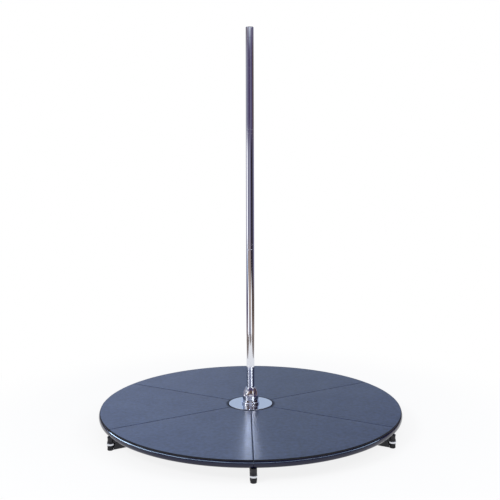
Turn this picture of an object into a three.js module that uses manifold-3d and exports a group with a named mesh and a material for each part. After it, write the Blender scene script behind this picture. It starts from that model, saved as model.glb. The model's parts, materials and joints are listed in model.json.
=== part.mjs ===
// Free-standing dance pole on a round stage of six boards.
// Millimetres, +Z up. The origin is on the floor under the pole, and the front foot lies along -Y.

import * as THREE from "three";
import { mergeVertices } from "three/addons/utils/BufferGeometryUtils.js";
import Module from "manifold-3d";

const wasm = await Module();
wasm.setup();

// Fits and facets
const fitGap = 0.3; // left between pieces that seat on or in each other
const overrun = 5; // how far a cut reaches past the face that it opens
const legCount = 6;
const fullTurn = 2 * Math.PI;
const sector = fullTurn / legCount;
const rimSteps = 60;
const poleSteps = 24;
const bearingSteps = 16;
const footSteps = 12;
const screwSteps = 8;

// Stage boards: plywood in a padded skin, so every edge is rounded
const stageRadius = 928.5; // to the outermost face of the rim
const stageHeight = 116; // floor to the dancing surface, feet screwed right in
const boardThickness = 22;
const boardEdgeRound = 2.5;
const boardHoleRadius = 104;
const seamWidth = 2;

// Rim: a bull-nosed hollow edge trim with a rabbet that takes the board's edge
const rimProud = 5.5; // how far the nose stands out past the board
const rimHeight = 38;
const rimDrop = 4; // crown of the nose below the dancing surface
const rimNoseDepth = 12;
const rimLipWall = 0.7; // thin edge of the lip against the board
const rimLedge = 23; // how far the ledge reaches in under the board
const rimWall = 3;
const rimFootRound = 4;

// Arms: box-section beams from the hub to the feet
const armWidth = 36;
const armWall = 3;
const groundClearance = 4;
const footInset = 13.5; // foot axis in from the face of the rim
const armNoseReach = 10; // arm's end in from the foot axis
const armHeelReach = 22; // top of the arm's slanted end in from the foot axis
const armRimClearance = 2;

// Foot: post and collar on the arm, a screwed stem with its bright ring, and a ribbed pad
const postRadius = 16;
const postHeadRadius = 17.5;
const postHeadHeight = 5;
const collarRadius = 18;
const collarHeight = 9;
const ringRadius = 19.5;
const ringHeight = 10.4;
const stemRadius = 8;
const stemHeadroom = 2; // stem's top below the post's top
const padRadius = 16.5;
const padHeight = 27;
const padRibCount = 12;
const padRibDepth = 1.3;
const padRibShare = 0.5; // share of the pitch that a rib takes
const pivotRadius = 6;
const pivotDepth = 14;
const footClearance = 1.5; // between the arm's fish-mouthed end and the ring

// Hub: a six-sided block with a spigot for each arm
const hubFlatRadius = 78;
const spigotLength = 75;
const spigotWall = 5;
const armBoltRadius = 5;
const armBoltHeadRadius = 9.8;
const armBoltHeadHeight = 6.4;

// Bearings and the spindle that turns in them
const journalRadius = 24.7;
const bearingOuterRadius = 45;
const bearingWidth = 20;
const raceWall = 6.5;
const ballRadius = 6;
const ballCount = 8;
const ballClearance = 0.4;
const grooveMouthShare = 0.93; // of the ball's radius
const grooveFloorShare = 0.43; // of the ball's radius
const cageThickness = 3;
const cageHeight = 8;
const landWall = 3.5; // step of the hub's bore behind each outer ring
const nutRadius = 33;
const nutHeight = 13.7;
const nutGround = 8;
const spindleThreadRadius = 20;
const spindleEndDrop = 2; // thread below the nut

// Bearing cap: bolted flange and the neck that holds the two spin locks
const capFlangeRadius = 100;
const capFlangeThickness = 8;
const capBoltCircle = 64;
const capBoltRadius = 7.5;
const capBoltHeight = 5;
const neckRise = 21; // neck's top above the dancing surface
const neckChamfer = 1.5;
const neckClearance = 3; // between the neck's bore and the spindle's collar
const lockRadius = 4;
const lockHeight = 11; // lock axis above the dancing surface
const lockTravel = 2.5; // lock's tip to the spindle's collar
const lockSocketRadius = 2.3;
const lockSocketDepth = 4;

// Pole: three tubes on the spindle, with an expanding coupler in each joint
const tubeRadius = 25;
const tubeWall = 2.5;
const lowerTubeLength = 938;
const middleTubeLength = 691;
const upperTubeLength = 637;
const seatLip = 8; // spindle's collar past the tube
const seatRise = 23; // tube's seat above the dancing surface
const shoulderRadius = 31;
const shoulderHeight = 10;
const spindleSpigotLength = 120;
const spigotChamfer = 2;
const bandHeight = 28;
const jawLength = 55; // in each tube
const jawSplit = 3;
const jackRadius = 5;
const jackSocketRadius = 2.9;
const jackSocketDepth = 6;
const jackInset = 2; // jack screw's end below the band's face
const jackSeatDepth = 4; // seat of its tip in the front jaw
const plugLip = 3;
const plugSkirt = 20;
const plugWall = 3;
const plugRound = 1.2;

// Dome cover and trim disc
const discRadius = 135;
const discThickness = 3;
const discEdge = 1;
const discClearance = 1;
const discBed = 1; // how far the disc beds into the boards' padding
const domeFootRadius = 55.5;
const domeFootHeight = 12;
const domeRadius = 50;
const domeShoulderHeight = 50;
const domeHeight = 100;
const domeTopRadius = 29;
const domeWall = 2.5;
const domeClearance = 1.5; // round the neck
const domeTopGap = 0.6; // round the tube
const domeFlareShares = [[0.3, 0.84], [0.6, 0.49], [0.88, 0.13]]; // height and width of the bell's flare

// Levels and radii that follow from the sizes above
const boardUnderside = stageHeight - boardThickness;
const frameTop = boardUnderside - fitGap;
const boardRadius = stageRadius - rimProud;
const rimCrown = stageHeight - rimDrop;
const rimUnderside = rimCrown - rimHeight;
const rimInnerRadius = boardRadius - rimLedge;
const footAxis = stageRadius - footInset;
const ringUnderside = padHeight + fitGap;
const collarUnderside = ringUnderside + ringHeight + fitGap;
const postUnderside = collarUnderside + collarHeight;
const postTop = rimUnderside - fitGap;
const armStart = hubFlatRadius + fitGap;
const armDepth = frameTop - groundClearance;
const armMidHeight = groundClearance + armDepth / 2;
const armBoltAt = hubFlatRadius + spigotLength / 2;
const raceInner = bearingOuterRadius - raceWall;
const raceOuter = journalRadius + fitGap + raceWall;
const ballCircle = (raceInner + raceOuter) / 2;
const lowerBearingAt = nutGround + nutHeight + fitGap;
const upperBearingAt = frameTop - bearingWidth;
const tubeBore = tubeRadius - tubeWall;
const spigotRadius = tubeBore - fitGap;
const seatRadius = tubeRadius + seatLip;
const seatTop = stageHeight + seatRise;
const lowerTubeAt = seatTop + fitGap;
const lowerBandAt = lowerTubeAt + lowerTubeLength + fitGap;
const middleTubeAt = lowerBandAt + bandHeight + fitGap;
const upperBandAt = middleTubeAt + middleTubeLength + fitGap;
const upperTubeAt = upperBandAt + bandHeight + fitGap;
const plugAt = upperTubeAt + upperTubeLength + fitGap;
const neckRadius = domeRadius - domeWall - domeClearance;
const neckBore = seatRadius + neckClearance;
const capUnderside = boardUnderside;
const discAt = stageHeight - discBed + fitGap;
const domeAt = discAt + discThickness + fitGap;

// Solids

// A closed solid from a three.js geometry, with its faces turned outwards.
function closedSolid(geometry) {
  geometry.deleteAttribute("normal");
  geometry.deleteAttribute("uv");
  const merged = mergeVertices(geometry);
  const points = merged.getAttribute("position").array;
  const index = merged.getIndex().array;
  const corners = [];
  let volume = 0;
  for (let i = 0; i < index.length; i += 3) {
    const [a, b, c] = [index[i], index[i + 1], index[i + 2]];
    if (a === b || b === c || c === a) continue;
    corners.push(a, b, c);
    const [p, q, r] = [a, b, c].map((corner) => new THREE.Vector3().fromArray(points, 3 * corner));
    volume += p.dot(q.cross(r));
  }
  if (volume < 0) corners.reverse();
  const triVerts = new Uint32Array(corners);
  return new wasm.Manifold(new wasm.Mesh({ numProp: 3, vertProperties: points, triVerts }));
}

// Radius of a faceted hole whose flats clear a round piece of this radius.
function holeFor(radius, steps, gap = fitGap) {
  return (radius + gap) / Math.cos(Math.PI / steps);
}

// A profile of [radius, height] points turned about Z. One that leaves the axis closes on itself.
function turned(points, steps) {
  const outline = points.map(([radius, height]) => new THREE.Vector2(radius, height));
  if (outline[0].x > 0) outline.push(outline[0].clone());
  const geometry = new THREE.LatheGeometry(outline, steps);
  geometry.rotateX(Math.PI / 2);
  return closedSolid(geometry);
}

// A plain round bar between two heights.
function bar(radius, low, high, steps) {
  return turned([[0, low], [radius, low], [radius, high], [0, high]], steps);
}

// A plain round tube between two heights.
function tube(inner, outer, low, high, steps) {
  return turned([[inner, low], [outer, low], [outer, high], [inner, high]], steps);
}

// A flat outline of [x, y] points raised between two heights.
function raised(points, low, high) {
  const shape = new THREE.Shape(points.map(([x, y]) => new THREE.Vector2(x, y)));
  const geometry = new THREE.ExtrudeGeometry(shape, { depth: high - low, bevelEnabled: false });
  geometry.translate(0, 0, low);
  return closedSolid(geometry);
}

// A side view of [x, z] points with its width shared about the XZ plane.
function sideways(points, width) {
  const shape = new THREE.Shape(points.map(([x, z]) => new THREE.Vector2(x, z)));
  const geometry = new THREE.ExtrudeGeometry(shape, { depth: width, bevelEnabled: false });
  geometry.rotateX(Math.PI / 2);
  geometry.translate(0, width / 2, 0);
  return closedSolid(geometry);
}

// The same solid moved by a matrix.
function moved(solid, matrix) {
  return solid.transform(matrix.toArray());
}

// Matrices for the few placings that the pieces need.
const shift = (x, y, z) => new THREE.Matrix4().makeTranslation(x, y, z);
const spun = (angle) => new THREE.Matrix4().makeRotationZ(angle);
const alongX = new THREE.Matrix4().makeRotationY(Math.PI / 2);
const alongY = new THREE.Matrix4().makeRotationX(-Math.PI / 2);

// Angle of the leg or board with this number. Legs lie under the seams between boards.
const legAngle = (number) => sector / 2 + number * sector;
const boardAngle = (number) => number * sector;

// Materials
const finishes = {
  leatherette: { color: 0x2c3347, roughness: 0.55, metalness: 0 },
  glossTrim: { color: 0x0b0b10, roughness: 0.18, metalness: 0 },
  blackPowder: { color: 0x14141b, roughness: 0.5, metalness: 0.3 },
  chrome: { color: 0xd5d7de, roughness: 0.06, metalness: 1 },
  brightZinc: { color: 0xd9dade, roughness: 0.25, metalness: 1 },
  turnedSteel: { color: 0x9c9ea3, roughness: 0.35, metalness: 1 },
  bearingSteel: { color: 0xb4b6ba, roughness: 0.15, metalness: 1 },
  blackOxide: { color: 0x26262a, roughness: 0.45, metalness: 0.8 },
  rubber: { color: 0x17171b, roughness: 0.75, metalness: 0 },
};

// A named mesh with a material of its own.
function piece(name, solid, finish) {
  const { vertProperties, triVerts } = solid.getMesh();
  const geometry = new THREE.BufferGeometry();
  geometry.setAttribute("position", new THREE.BufferAttribute(vertProperties, 3));
  geometry.setIndex(new THREE.BufferAttribute(triVerts, 1));
  geometry.computeVertexNormals();
  const mesh = new THREE.Mesh(geometry, new THREE.MeshStandardMaterial(finishes[finish]));
  mesh.name = name;
  return mesh;
}

// Stage boards

// One sector of the stage, drawn about +X, with its sides parallel to the seams and a bed for the disc.
function boardSolid() {
  const seamShare = (radius) => sector / 2 - Math.asin(seamWidth / 2 / radius);
  const shape = new THREE.Shape();
  shape.absarc(0, 0, boardRadius, -seamShare(boardRadius), seamShare(boardRadius), false);
  shape.absarc(0, 0, boardHoleRadius, seamShare(boardHoleRadius), -seamShare(boardHoleRadius), true);
  const geometry = new THREE.ExtrudeGeometry(shape, {
    depth: boardThickness - 2 * boardEdgeRound,
    curveSegments: rimSteps / legCount / 2, // an arc gets two steps for each
    bevelSize: boardEdgeRound,
    bevelOffset: -boardEdgeRound,
    bevelThickness: boardEdgeRound,
    bevelSegments: 1,
  });
  geometry.translate(0, 0, boardUnderside + boardEdgeRound);
  const bedRadius = holeFor(discRadius, poleSteps, discClearance);
  const bed = bar(bedRadius, stageHeight - discBed, stageHeight + overrun, poleSteps);
  return closedSolid(geometry).subtract(bed);
}

// Rim

// The nose follows an ellipse from the lip out to the rim's face, and from there to the underside.
function rimNose(wall, upperSteps, lowerSteps) {
  const centreHeight = rimUnderside + rimHeight / 2;
  const centreRadius = stageRadius - rimNoseDepth;
  const depth = rimNoseDepth - wall;
  const rise = rimHeight / 2 - wall;
  const lipReach = boardRadius + fitGap + rimLipWall - centreRadius;
  const start = Math.acos(Math.min(lipReach / rimNoseDepth, 1));
  const angles = [];
  for (let step = 0; step < upperSteps; step += 1) {
    angles.push(start * (1 - step / upperSteps));
  }
  for (let step = 0; step <= lowerSteps; step += 1) {
    angles.push((-Math.PI / 2) * (step / lowerSteps));
  }
  return angles.map((angle) => [centreRadius + depth * Math.cos(angle), centreHeight + rise * Math.sin(angle)]);
}

// One length of trim, drawn about +X, cut from a whole ring so that the ends match the seams.
function rimSolid() {
  const lipRadius = boardRadius + fitGap;
  const nose = rimNose(0, 2, 3);
  const innerNose = rimNose(rimWall, 1, 2).filter(([, height]) => height < frameTop - rimWall);
  const outside = turned(
    [
      ...nose,
      [rimInnerRadius + rimFootRound, rimUnderside],
      [rimInnerRadius, rimUnderside + rimFootRound],
      [rimInnerRadius, frameTop],
      [lipRadius, frameTop],
      [lipRadius, nose[0][1]],
    ],
    rimSteps,
  );
  const chamber = turned(
    [
      [innerNose[0][0], frameTop - rimWall],
      ...innerNose,
      [rimInnerRadius + rimWall, rimUnderside + rimWall],
      [rimInnerRadius + rimWall, frameTop - rimWall],
    ],
    rimSteps,
  );
  const half = sector / 2;
  const reach = 2 * stageRadius;
  const cornerX = reach * Math.cos(half) + (seamWidth / 2) * Math.sin(half);
  const cornerY = reach * Math.sin(half) - (seamWidth / 2) * Math.cos(half);
  const apex = seamWidth / 2 / Math.sin(half);
  const wedge = raised([[apex, 0], [cornerX, -cornerY], [cornerX, cornerY]], 0, stageHeight);
  return outside.subtract(chamber).intersect(wedge);
}

// Arm

// The foot's clearance and the post's bore are cut about the foot axis.
function armSolid() {
  const nose = footAxis - armNoseReach;
  const heel = footAxis - armHeelReach;
  const underRim = rimInnerRadius - armRimClearance;
  const beam = sideways(
    [
      [armStart, groundClearance],
      [nose, groundClearance],
      [heel, collarUnderside],
      [heel, postUnderside],
      [nose, postUnderside],
      [nose, postTop],
      [underRim, postTop],
      [underRim, frameTop],
      [armStart, frameTop],
    ],
    armWidth,
  );
  const hollow = sideways(
    [
      [armStart - overrun, groundClearance + armWall],
      [nose - 2 * armWall, groundClearance + armWall],
      [heel - armWall, postUnderside],
      [heel - armWall, frameTop - armWall],
      [armStart - overrun, frameTop - armWall],
    ],
    armWidth - 2 * armWall,
  );
  const post = turned(
    [
      [0, collarUnderside],
      [collarRadius, collarUnderside],
      [collarRadius, postUnderside],
      [postRadius, postUnderside],
      [postRadius, postTop - postHeadHeight],
      [postHeadRadius, postTop - postHeadHeight],
      [postHeadRadius, postTop],
      [0, postTop],
    ],
    footSteps,
  );
  const bore = bar(holeFor(stemRadius, footSteps), 0, postTop + overrun, footSteps);
  const swept = bar(ringRadius + footClearance, 0, collarUnderside, footSteps);
  const boltHole = bar(holeFor(armBoltRadius, screwSteps), 0, armWidth, screwSteps);
  const atFoot = shift(footAxis, 0, 0);
  const atBolt = shift(armBoltAt, 0, armMidHeight).multiply(alongY);
  return beam
    .subtract(hollow)
    .subtract(moved(swept, atFoot))
    .add(moved(post, atFoot))
    .subtract(moved(bore, atFoot))
    .subtract(moved(boltHole, atBolt));
}

// The bolt goes in from the arm's left side and grips both walls of the spigot.
function armBoltSolid() {
  const headAt = armWidth / 2 + fitGap;
  const tip = -(armWidth / 2 - armWall - fitGap);
  const shank = bar(armBoltRadius, tip, headAt + armBoltHeadHeight / 2, screwSteps);
  const head = bar(armBoltHeadRadius, headAt, headAt + armBoltHeadHeight, legCount);
  return moved(shank.add(head), shift(armBoltAt, 0, armMidHeight).multiply(alongY));
}

// Foot

// Stem, bright ring and the pivot that stands in the pad.
function stemSolid() {
  const ringTop = ringUnderside + ringHeight;
  return turned(
    [
      [0, padHeight - pivotDepth + fitGap],
      [pivotRadius, padHeight - pivotDepth + fitGap],
      [pivotRadius, ringUnderside],
      [ringRadius, ringUnderside],
      [ringRadius, ringTop],
      [stemRadius, ringTop],
      [stemRadius, postTop - stemHeadroom],
      [0, postTop - stemHeadroom],
    ],
    footSteps,
  );
}

// Ribbed pad that stands on the floor.
function padSolid() {
  const pitch = fullTurn / padRibCount;
  const points = [];
  for (let rib = 0; rib < padRibCount; rib += 1) {
    for (const side of [-1, 1]) {
      points.push([padRadius, (rib + (side * padRibShare) / 2) * pitch]);
    }
    points.push([padRadius - padRibDepth, (rib + 1 / 2) * pitch]);
  }
  const outline = points.map(([radius, angle]) => [radius * Math.cos(angle), radius * Math.sin(angle)]);
  const pocket = bar(holeFor(pivotRadius, footSteps), padHeight - pivotDepth, padHeight + overrun, footSteps);
  return raised(outline, 0, padHeight).subtract(pocket);
}

// Hub

// Six flats face the arms, and each flat carries a hollow spigot.
function hubSolid() {
  const corner = hubFlatRadius / Math.cos(sector / 2);
  const corners = [];
  for (let side = 0; side < legCount; side += 1) {
    corners.push([corner * Math.cos(side * sector), corner * Math.sin(side * sector)]);
  }
  const spigotWidth = armWidth - 2 * (armWall + fitGap);
  const spigotLow = groundClearance + armWall + fitGap;
  const spigotHigh = frameTop - armWall - fitGap;
  const spigotEnd = hubFlatRadius + spigotLength;
  const outside = sideways(
    [
      [hubFlatRadius - spigotWall, spigotLow],
      [spigotEnd, spigotLow],
      [spigotEnd, spigotHigh],
      [hubFlatRadius - spigotWall, spigotHigh],
    ],
    spigotWidth,
  );
  const inside = sideways(
    [
      [hubFlatRadius, spigotLow + spigotWall],
      [spigotEnd + overrun, spigotLow + spigotWall],
      [spigotEnd + overrun, spigotHigh - spigotWall],
      [hubFlatRadius, spigotHigh - spigotWall],
    ],
    spigotWidth - 2 * spigotWall,
  );
  const boltHole = bar(holeFor(armBoltRadius, screwSteps), -armWidth, armWidth, screwSteps);
  const atBolt = shift(armBoltAt, 0, armMidHeight).multiply(alongY);
  let hub = raised(corners, groundClearance, frameTop);
  for (let leg = 0; leg < legCount; leg += 1) {
    const turn = spun(legAngle(leg));
    hub = hub
      .add(moved(outside, turn))
      .subtract(moved(inside, turn))
      .subtract(moved(boltHole, turn.clone().multiply(atBolt)));
  }
  const seat = bearingOuterRadius + fitGap;
  const bore = turned(
    [
      [0, groundClearance - overrun],
      [seat, groundClearance - overrun],
      [seat, lowerBearingAt + bearingWidth + fitGap],
      [seat - landWall, lowerBearingAt + bearingWidth + fitGap],
      [seat - landWall, upperBearingAt - fitGap],
      [seat, upperBearingAt - fitGap],
      [seat, frameTop + overrun],
      [0, frameTop + overrun],
    ],
    bearingSteps,
  );
  return hub.subtract(bore);
}

// Bearings

// A ring with a ball groove in one face: wall is the plain face, race the grooved one.
function raceSolid(wall, race, floor, at) {
  const middle = at + bearingWidth / 2;
  const mouth = ballRadius * grooveMouthShare;
  const flat = ballRadius * grooveFloorShare;
  return turned(
    [
      [wall, at],
      [race, at],
      [race, middle - mouth],
      [floor, middle - flat],
      [floor, middle + flat],
      [race, middle + mouth],
      [race, at + bearingWidth],
      [wall, at + bearingWidth],
    ],
    bearingSteps,
  );
}

function outerRaceSolid(at) {
  const floor = holeFor(ballCircle + ballRadius, bearingSteps, ballClearance);
  return raceSolid(bearingOuterRadius, raceInner, floor, at);
}

function innerRaceSolid(at) {
  const floor = ballCircle - ballRadius - ballClearance;
  return raceSolid(holeFor(journalRadius, bearingSteps), raceOuter, floor, at);
}

// The balls and the cage that spaces them turn as one piece.
function cageSolid(at) {
  const middle = at + bearingWidth / 2;
  const inner = ballCircle - cageThickness / 2;
  const outer = ballCircle + cageThickness / 2;
  let cage = tube(inner, outer, middle - cageHeight / 2, middle + cageHeight / 2, bearingSteps);
  const ballFacets = { around: 6, over: 4 };
  for (let ball = 0; ball < ballCount; ball += 1) {
    const angle = (ball / ballCount) * fullTurn;
    const geometry = new THREE.SphereGeometry(ballRadius, ballFacets.around, ballFacets.over);
    geometry.translate(ballCircle * Math.cos(angle), ballCircle * Math.sin(angle), middle);
    cage = cage.add(closedSolid(geometry));
  }
  return cage;
}

// Spindle, its nut and the bearing cap

// From the threaded end up: thread, journal, shoulder, lock collar and the spigot inside the pole.
function spindleSolid() {
  const threadEnd = nutGround - spindleEndDrop;
  const spigotTop = seatTop + spindleSpigotLength;
  return turned(
    [
      [0, threadEnd],
      [spindleThreadRadius, threadEnd],
      [spindleThreadRadius, lowerBearingAt],
      [journalRadius, lowerBearingAt],
      [journalRadius, capUnderside],
      [shoulderRadius, capUnderside],
      [shoulderRadius, capUnderside + shoulderHeight],
      [seatRadius, capUnderside + shoulderHeight],
      [seatRadius, seatTop],
      [spigotRadius, seatTop],
      [spigotRadius, spigotTop - spigotChamfer],
      [spigotRadius - spigotChamfer, spigotTop],
      [0, spigotTop],
    ],
    poleSteps,
  );
}

// Hexagon nut that pulls the inner rings together.
function spindleNutSolid() {
  const hexagon = bar(nutRadius, nutGround, nutGround + nutHeight, legCount);
  const bore = bar(
    holeFor(spindleThreadRadius, poleSteps),
    nutGround - overrun,
    nutGround + nutHeight + overrun,
    poleSteps,
  );
  return hexagon.subtract(bore);
}

// Flange with its bolt heads, and the neck with two holes for the spin locks.
function bearingCapSolid() {
  const flangeTop = capUnderside + capFlangeThickness;
  const neckTop = stageHeight + neckRise;
  const bore = holeFor(neckBore, poleSteps);
  const turnedCap = turned(
    [
      [bore, capUnderside],
      [capFlangeRadius, capUnderside],
      [capFlangeRadius, flangeTop],
      [neckRadius, flangeTop],
      [neckRadius, neckTop - neckChamfer],
      [neckRadius - neckChamfer, neckTop],
      [bore, neckTop],
    ],
    poleSteps,
  );
  const head = bar(capBoltRadius, flangeTop - capBoltHeight, flangeTop + capBoltHeight, legCount);
  const lockHole = bar(holeFor(lockRadius, screwSteps), -2 * neckRadius, 2 * neckRadius, screwSteps);
  let cap = turnedCap;
  for (let bolt = 0; bolt < legCount; bolt += 1) {
    const place = spun(boardAngle(bolt)).multiply(shift(capBoltCircle, 0, 0));
    cap = cap.add(moved(head, place));
  }
  return cap.subtract(moved(lockHole, shift(0, 0, stageHeight + lockHeight).multiply(alongX)));
}

// Grub screw along +X, with its socket at the outer end. It is backed out, so the pole spins.
function lockSolid() {
  const tip = seatRadius + lockTravel;
  const end = neckRadius - fitGap;
  const body = turned(
    [
      [0, tip],
      [lockRadius / 2, tip],
      [lockRadius, tip + lockRadius / 2],
      [lockRadius, end],
      [0, end],
    ],
    screwSteps,
  );
  const socket = bar(lockSocketRadius, end - lockSocketDepth, end + overrun, legCount);
  return moved(body.subtract(socket), shift(0, 0, stageHeight + lockHeight).multiply(alongX));
}

// Pole

function poleTubeSolid(at, length) {
  return tube(tubeBore, tubeRadius, at, at + length, poleSteps);
}

// Both jaws of a coupler before they are split: two spigots with a flush band between the tubes.
function couplerBlank(at) {
  const low = at - jawLength;
  const high = at + bandHeight + jawLength;
  return turned(
    [
      [0, low],
      [spigotRadius - spigotChamfer, low],
      [spigotRadius, low + spigotChamfer],
      [spigotRadius, at],
      [tubeRadius, at],
      [tubeRadius, at + bandHeight],
      [spigotRadius, at + bandHeight],
      [spigotRadius, high - spigotChamfer],
      [spigotRadius - spigotChamfer, high],
      [0, high],
    ],
    poleSteps,
  );
}

// One half of the coupler. Side is -1 for the front jaw and 1 for the back jaw.
function jawSolid(at, side) {
  const reach = side * 2 * tubeRadius;
  const split = (side * jawSplit) / 2;
  const half = raised(
    [[-2 * tubeRadius, split], [2 * tubeRadius, split], [2 * tubeRadius, reach], [-2 * tubeRadius, reach]],
    at - 2 * jawLength,
    at + 2 * jawLength + bandHeight,
  );
  const seat = -(jawSplit / 2 + jackSeatDepth);
  const jackHole = bar(holeFor(jackRadius, screwSteps), seat, tubeRadius + overrun, screwSteps);
  const atJack = shift(0, 0, at + bandHeight / 2).multiply(alongY);
  return couplerBlank(at).intersect(half).subtract(moved(jackHole, atJack));
}

// Grub screw along Y: threaded through the back jaw, with its tip seated in the front jaw.
function jackSolid(at) {
  const tip = -(jawSplit / 2 + jackSeatDepth) + fitGap;
  const end = tubeRadius - jackInset;
  const body = bar(jackRadius, tip, end, screwSteps);
  const socket = bar(jackSocketRadius, end - jackSocketDepth, end + overrun, legCount);
  return moved(body.subtract(socket), shift(0, 0, at + bandHeight / 2).multiply(alongY));
}

// Hollow plug that closes the top of the pole.
function plugSolid() {
  const top = plugAt + plugLip;
  return turned(
    [
      [0, plugAt],
      [spigotRadius - plugWall, plugAt],
      [spigotRadius - plugWall, plugAt - plugSkirt],
      [spigotRadius, plugAt - plugSkirt],
      [spigotRadius, plugAt],
      [tubeRadius, plugAt],
      [tubeRadius, top - plugRound],
      [tubeRadius - plugRound, top],
      [0, top],
    ],
    poleSteps,
  );
}

// Dome cover and trim disc

// Outer radius of the bell at a share of the height of its flare.
function domeFlare(wall) {
  const rise = domeHeight - domeShoulderHeight;
  const draw = domeRadius - domeTopRadius;
  return domeFlareShares.map(([heightShare, widthShare]) => [
    domeTopRadius + draw * widthShare - wall,
    domeAt + domeShoulderHeight + rise * heightShare,
  ]);
}

function domeSolid() {
  const footTop = domeAt + domeFootHeight;
  const shoulder = domeAt + domeShoulderHeight;
  const top = domeAt + domeHeight;
  const topHole = holeFor(tubeRadius, poleSteps, domeTopGap);
  return turned(
    [
      [domeRadius - domeWall, domeAt],
      [domeFootRadius, domeAt],
      [domeFootRadius, footTop - domeWall],
      [domeRadius, footTop],
      [domeRadius, shoulder],
      ...domeFlare(0),
      [domeTopRadius, top],
      [topHole, top],
      [topHole, top - domeWall],
      ...domeFlare(domeWall).reverse(),
      [domeRadius - domeWall, shoulder],
    ],
    poleSteps,
  );
}

function discSolid() {
  const hole = holeFor(neckRadius, poleSteps, discClearance);
  return turned(
    [
      [hole, discAt],
      [discRadius, discAt],
      [discRadius, discAt + discThickness - discEdge],
      [discRadius - discEdge, discAt + discThickness],
      [hole, discAt + discThickness],
    ],
    poleSteps,
  );
}

// Assembly
const dancePole = new THREE.Group();

// One leg's pieces share a group that is turned to the leg's angle.
function addLeg(number, solids) {
  const leg = new THREE.Group();
  leg.rotation.z = legAngle(number - 1);
  leg.add(piece(`arm_${number}`, solids.arm, "blackPowder"));
  leg.add(piece(`arm_bolt_${number}`, solids.bolt, "blackOxide"));
  for (const [name, solid, finish] of [
    ["levelling_stem", solids.stem, "brightZinc"],
    ["foot_pad", solids.pad, "rubber"],
  ]) {
    const mesh = piece(`${name}_${number}`, solid, finish);
    mesh.position.x = footAxis;
    leg.add(mesh);
  }
  dancePole.add(leg);
}

// One sector's board and its length of rim.
function addSector(number, solids) {
  const stage = new THREE.Group();
  stage.rotation.z = boardAngle(number - 1);
  stage.add(piece(`stage_board_${number}`, solids.board, "leatherette"));
  stage.add(piece(`rim_trim_${number}`, solids.rim, "glossTrim"));
  dancePole.add(stage);
}

const legSolids = { arm: armSolid(), bolt: armBoltSolid(), stem: stemSolid(), pad: padSolid() };
const sectorSolids = { board: boardSolid(), rim: rimSolid() };
for (let number = 1; number <= legCount; number += 1) {
  addLeg(number, legSolids);
  addSector(number, sectorSolids);
}

dancePole.add(piece("hub", hubSolid(), "blackPowder"));
for (const [place, at] of [["lower", lowerBearingAt], ["upper", upperBearingAt]]) {
  dancePole.add(piece(`${place}_bearing_outer_ring`, outerRaceSolid(at), "bearingSteel"));
  dancePole.add(piece(`${place}_bearing_inner_ring`, innerRaceSolid(at), "bearingSteel"));
  dancePole.add(piece(`${place}_bearing_ball_cage`, cageSolid(at), "bearingSteel"));
}
dancePole.add(piece("spindle", spindleSolid(), "turnedSteel"));
dancePole.add(piece("spindle_nut", spindleNutSolid(), "blackOxide"));
dancePole.add(piece("bearing_cap", bearingCapSolid(), "turnedSteel"));
dancePole.add(piece("spin_lock_right", lockSolid(), "blackOxide"));
const leftLock = piece("spin_lock_left", lockSolid(), "blackOxide");
leftLock.rotation.z = Math.PI;
dancePole.add(leftLock);

dancePole.add(piece("pole_lower_tube", poleTubeSolid(lowerTubeAt, lowerTubeLength), "chrome"));
dancePole.add(piece("pole_middle_tube", poleTubeSolid(middleTubeAt, middleTubeLength), "chrome"));
dancePole.add(piece("pole_upper_tube", poleTubeSolid(upperTubeAt, upperTubeLength), "chrome"));
for (const [place, at] of [["lower", lowerBandAt], ["upper", upperBandAt]]) {
  dancePole.add(piece(`${place}_coupler_front_jaw`, jawSolid(at, -1), "chrome"));
  dancePole.add(piece(`${place}_coupler_back_jaw`, jawSolid(at, 1), "chrome"));
  dancePole.add(piece(`${place}_coupler_jack_screw`, jackSolid(at), "blackOxide"));
}
dancePole.add(piece("pole_top_plug", plugSolid(), "chrome"));
dancePole.add(piece("trim_disc", discSolid(), "chrome"));
dancePole.add(piece("dome_cover", domeSolid(), "chrome"));

export default dancePole;
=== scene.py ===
# %% [markdown]
# # A dance pole on its round stage
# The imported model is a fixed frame: it says where each piece is, what it rides on and which
# finish it has. This lesson gives every piece its real surface, one kind of piece at a time.
# Each is a surface worked out with numpy, so a thread, a bell or a padded board is a formula.

# %% Load the frame
import json
import math

import bmesh
import bpy
import numpy
from mathutils import Matrix, Vector


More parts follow.
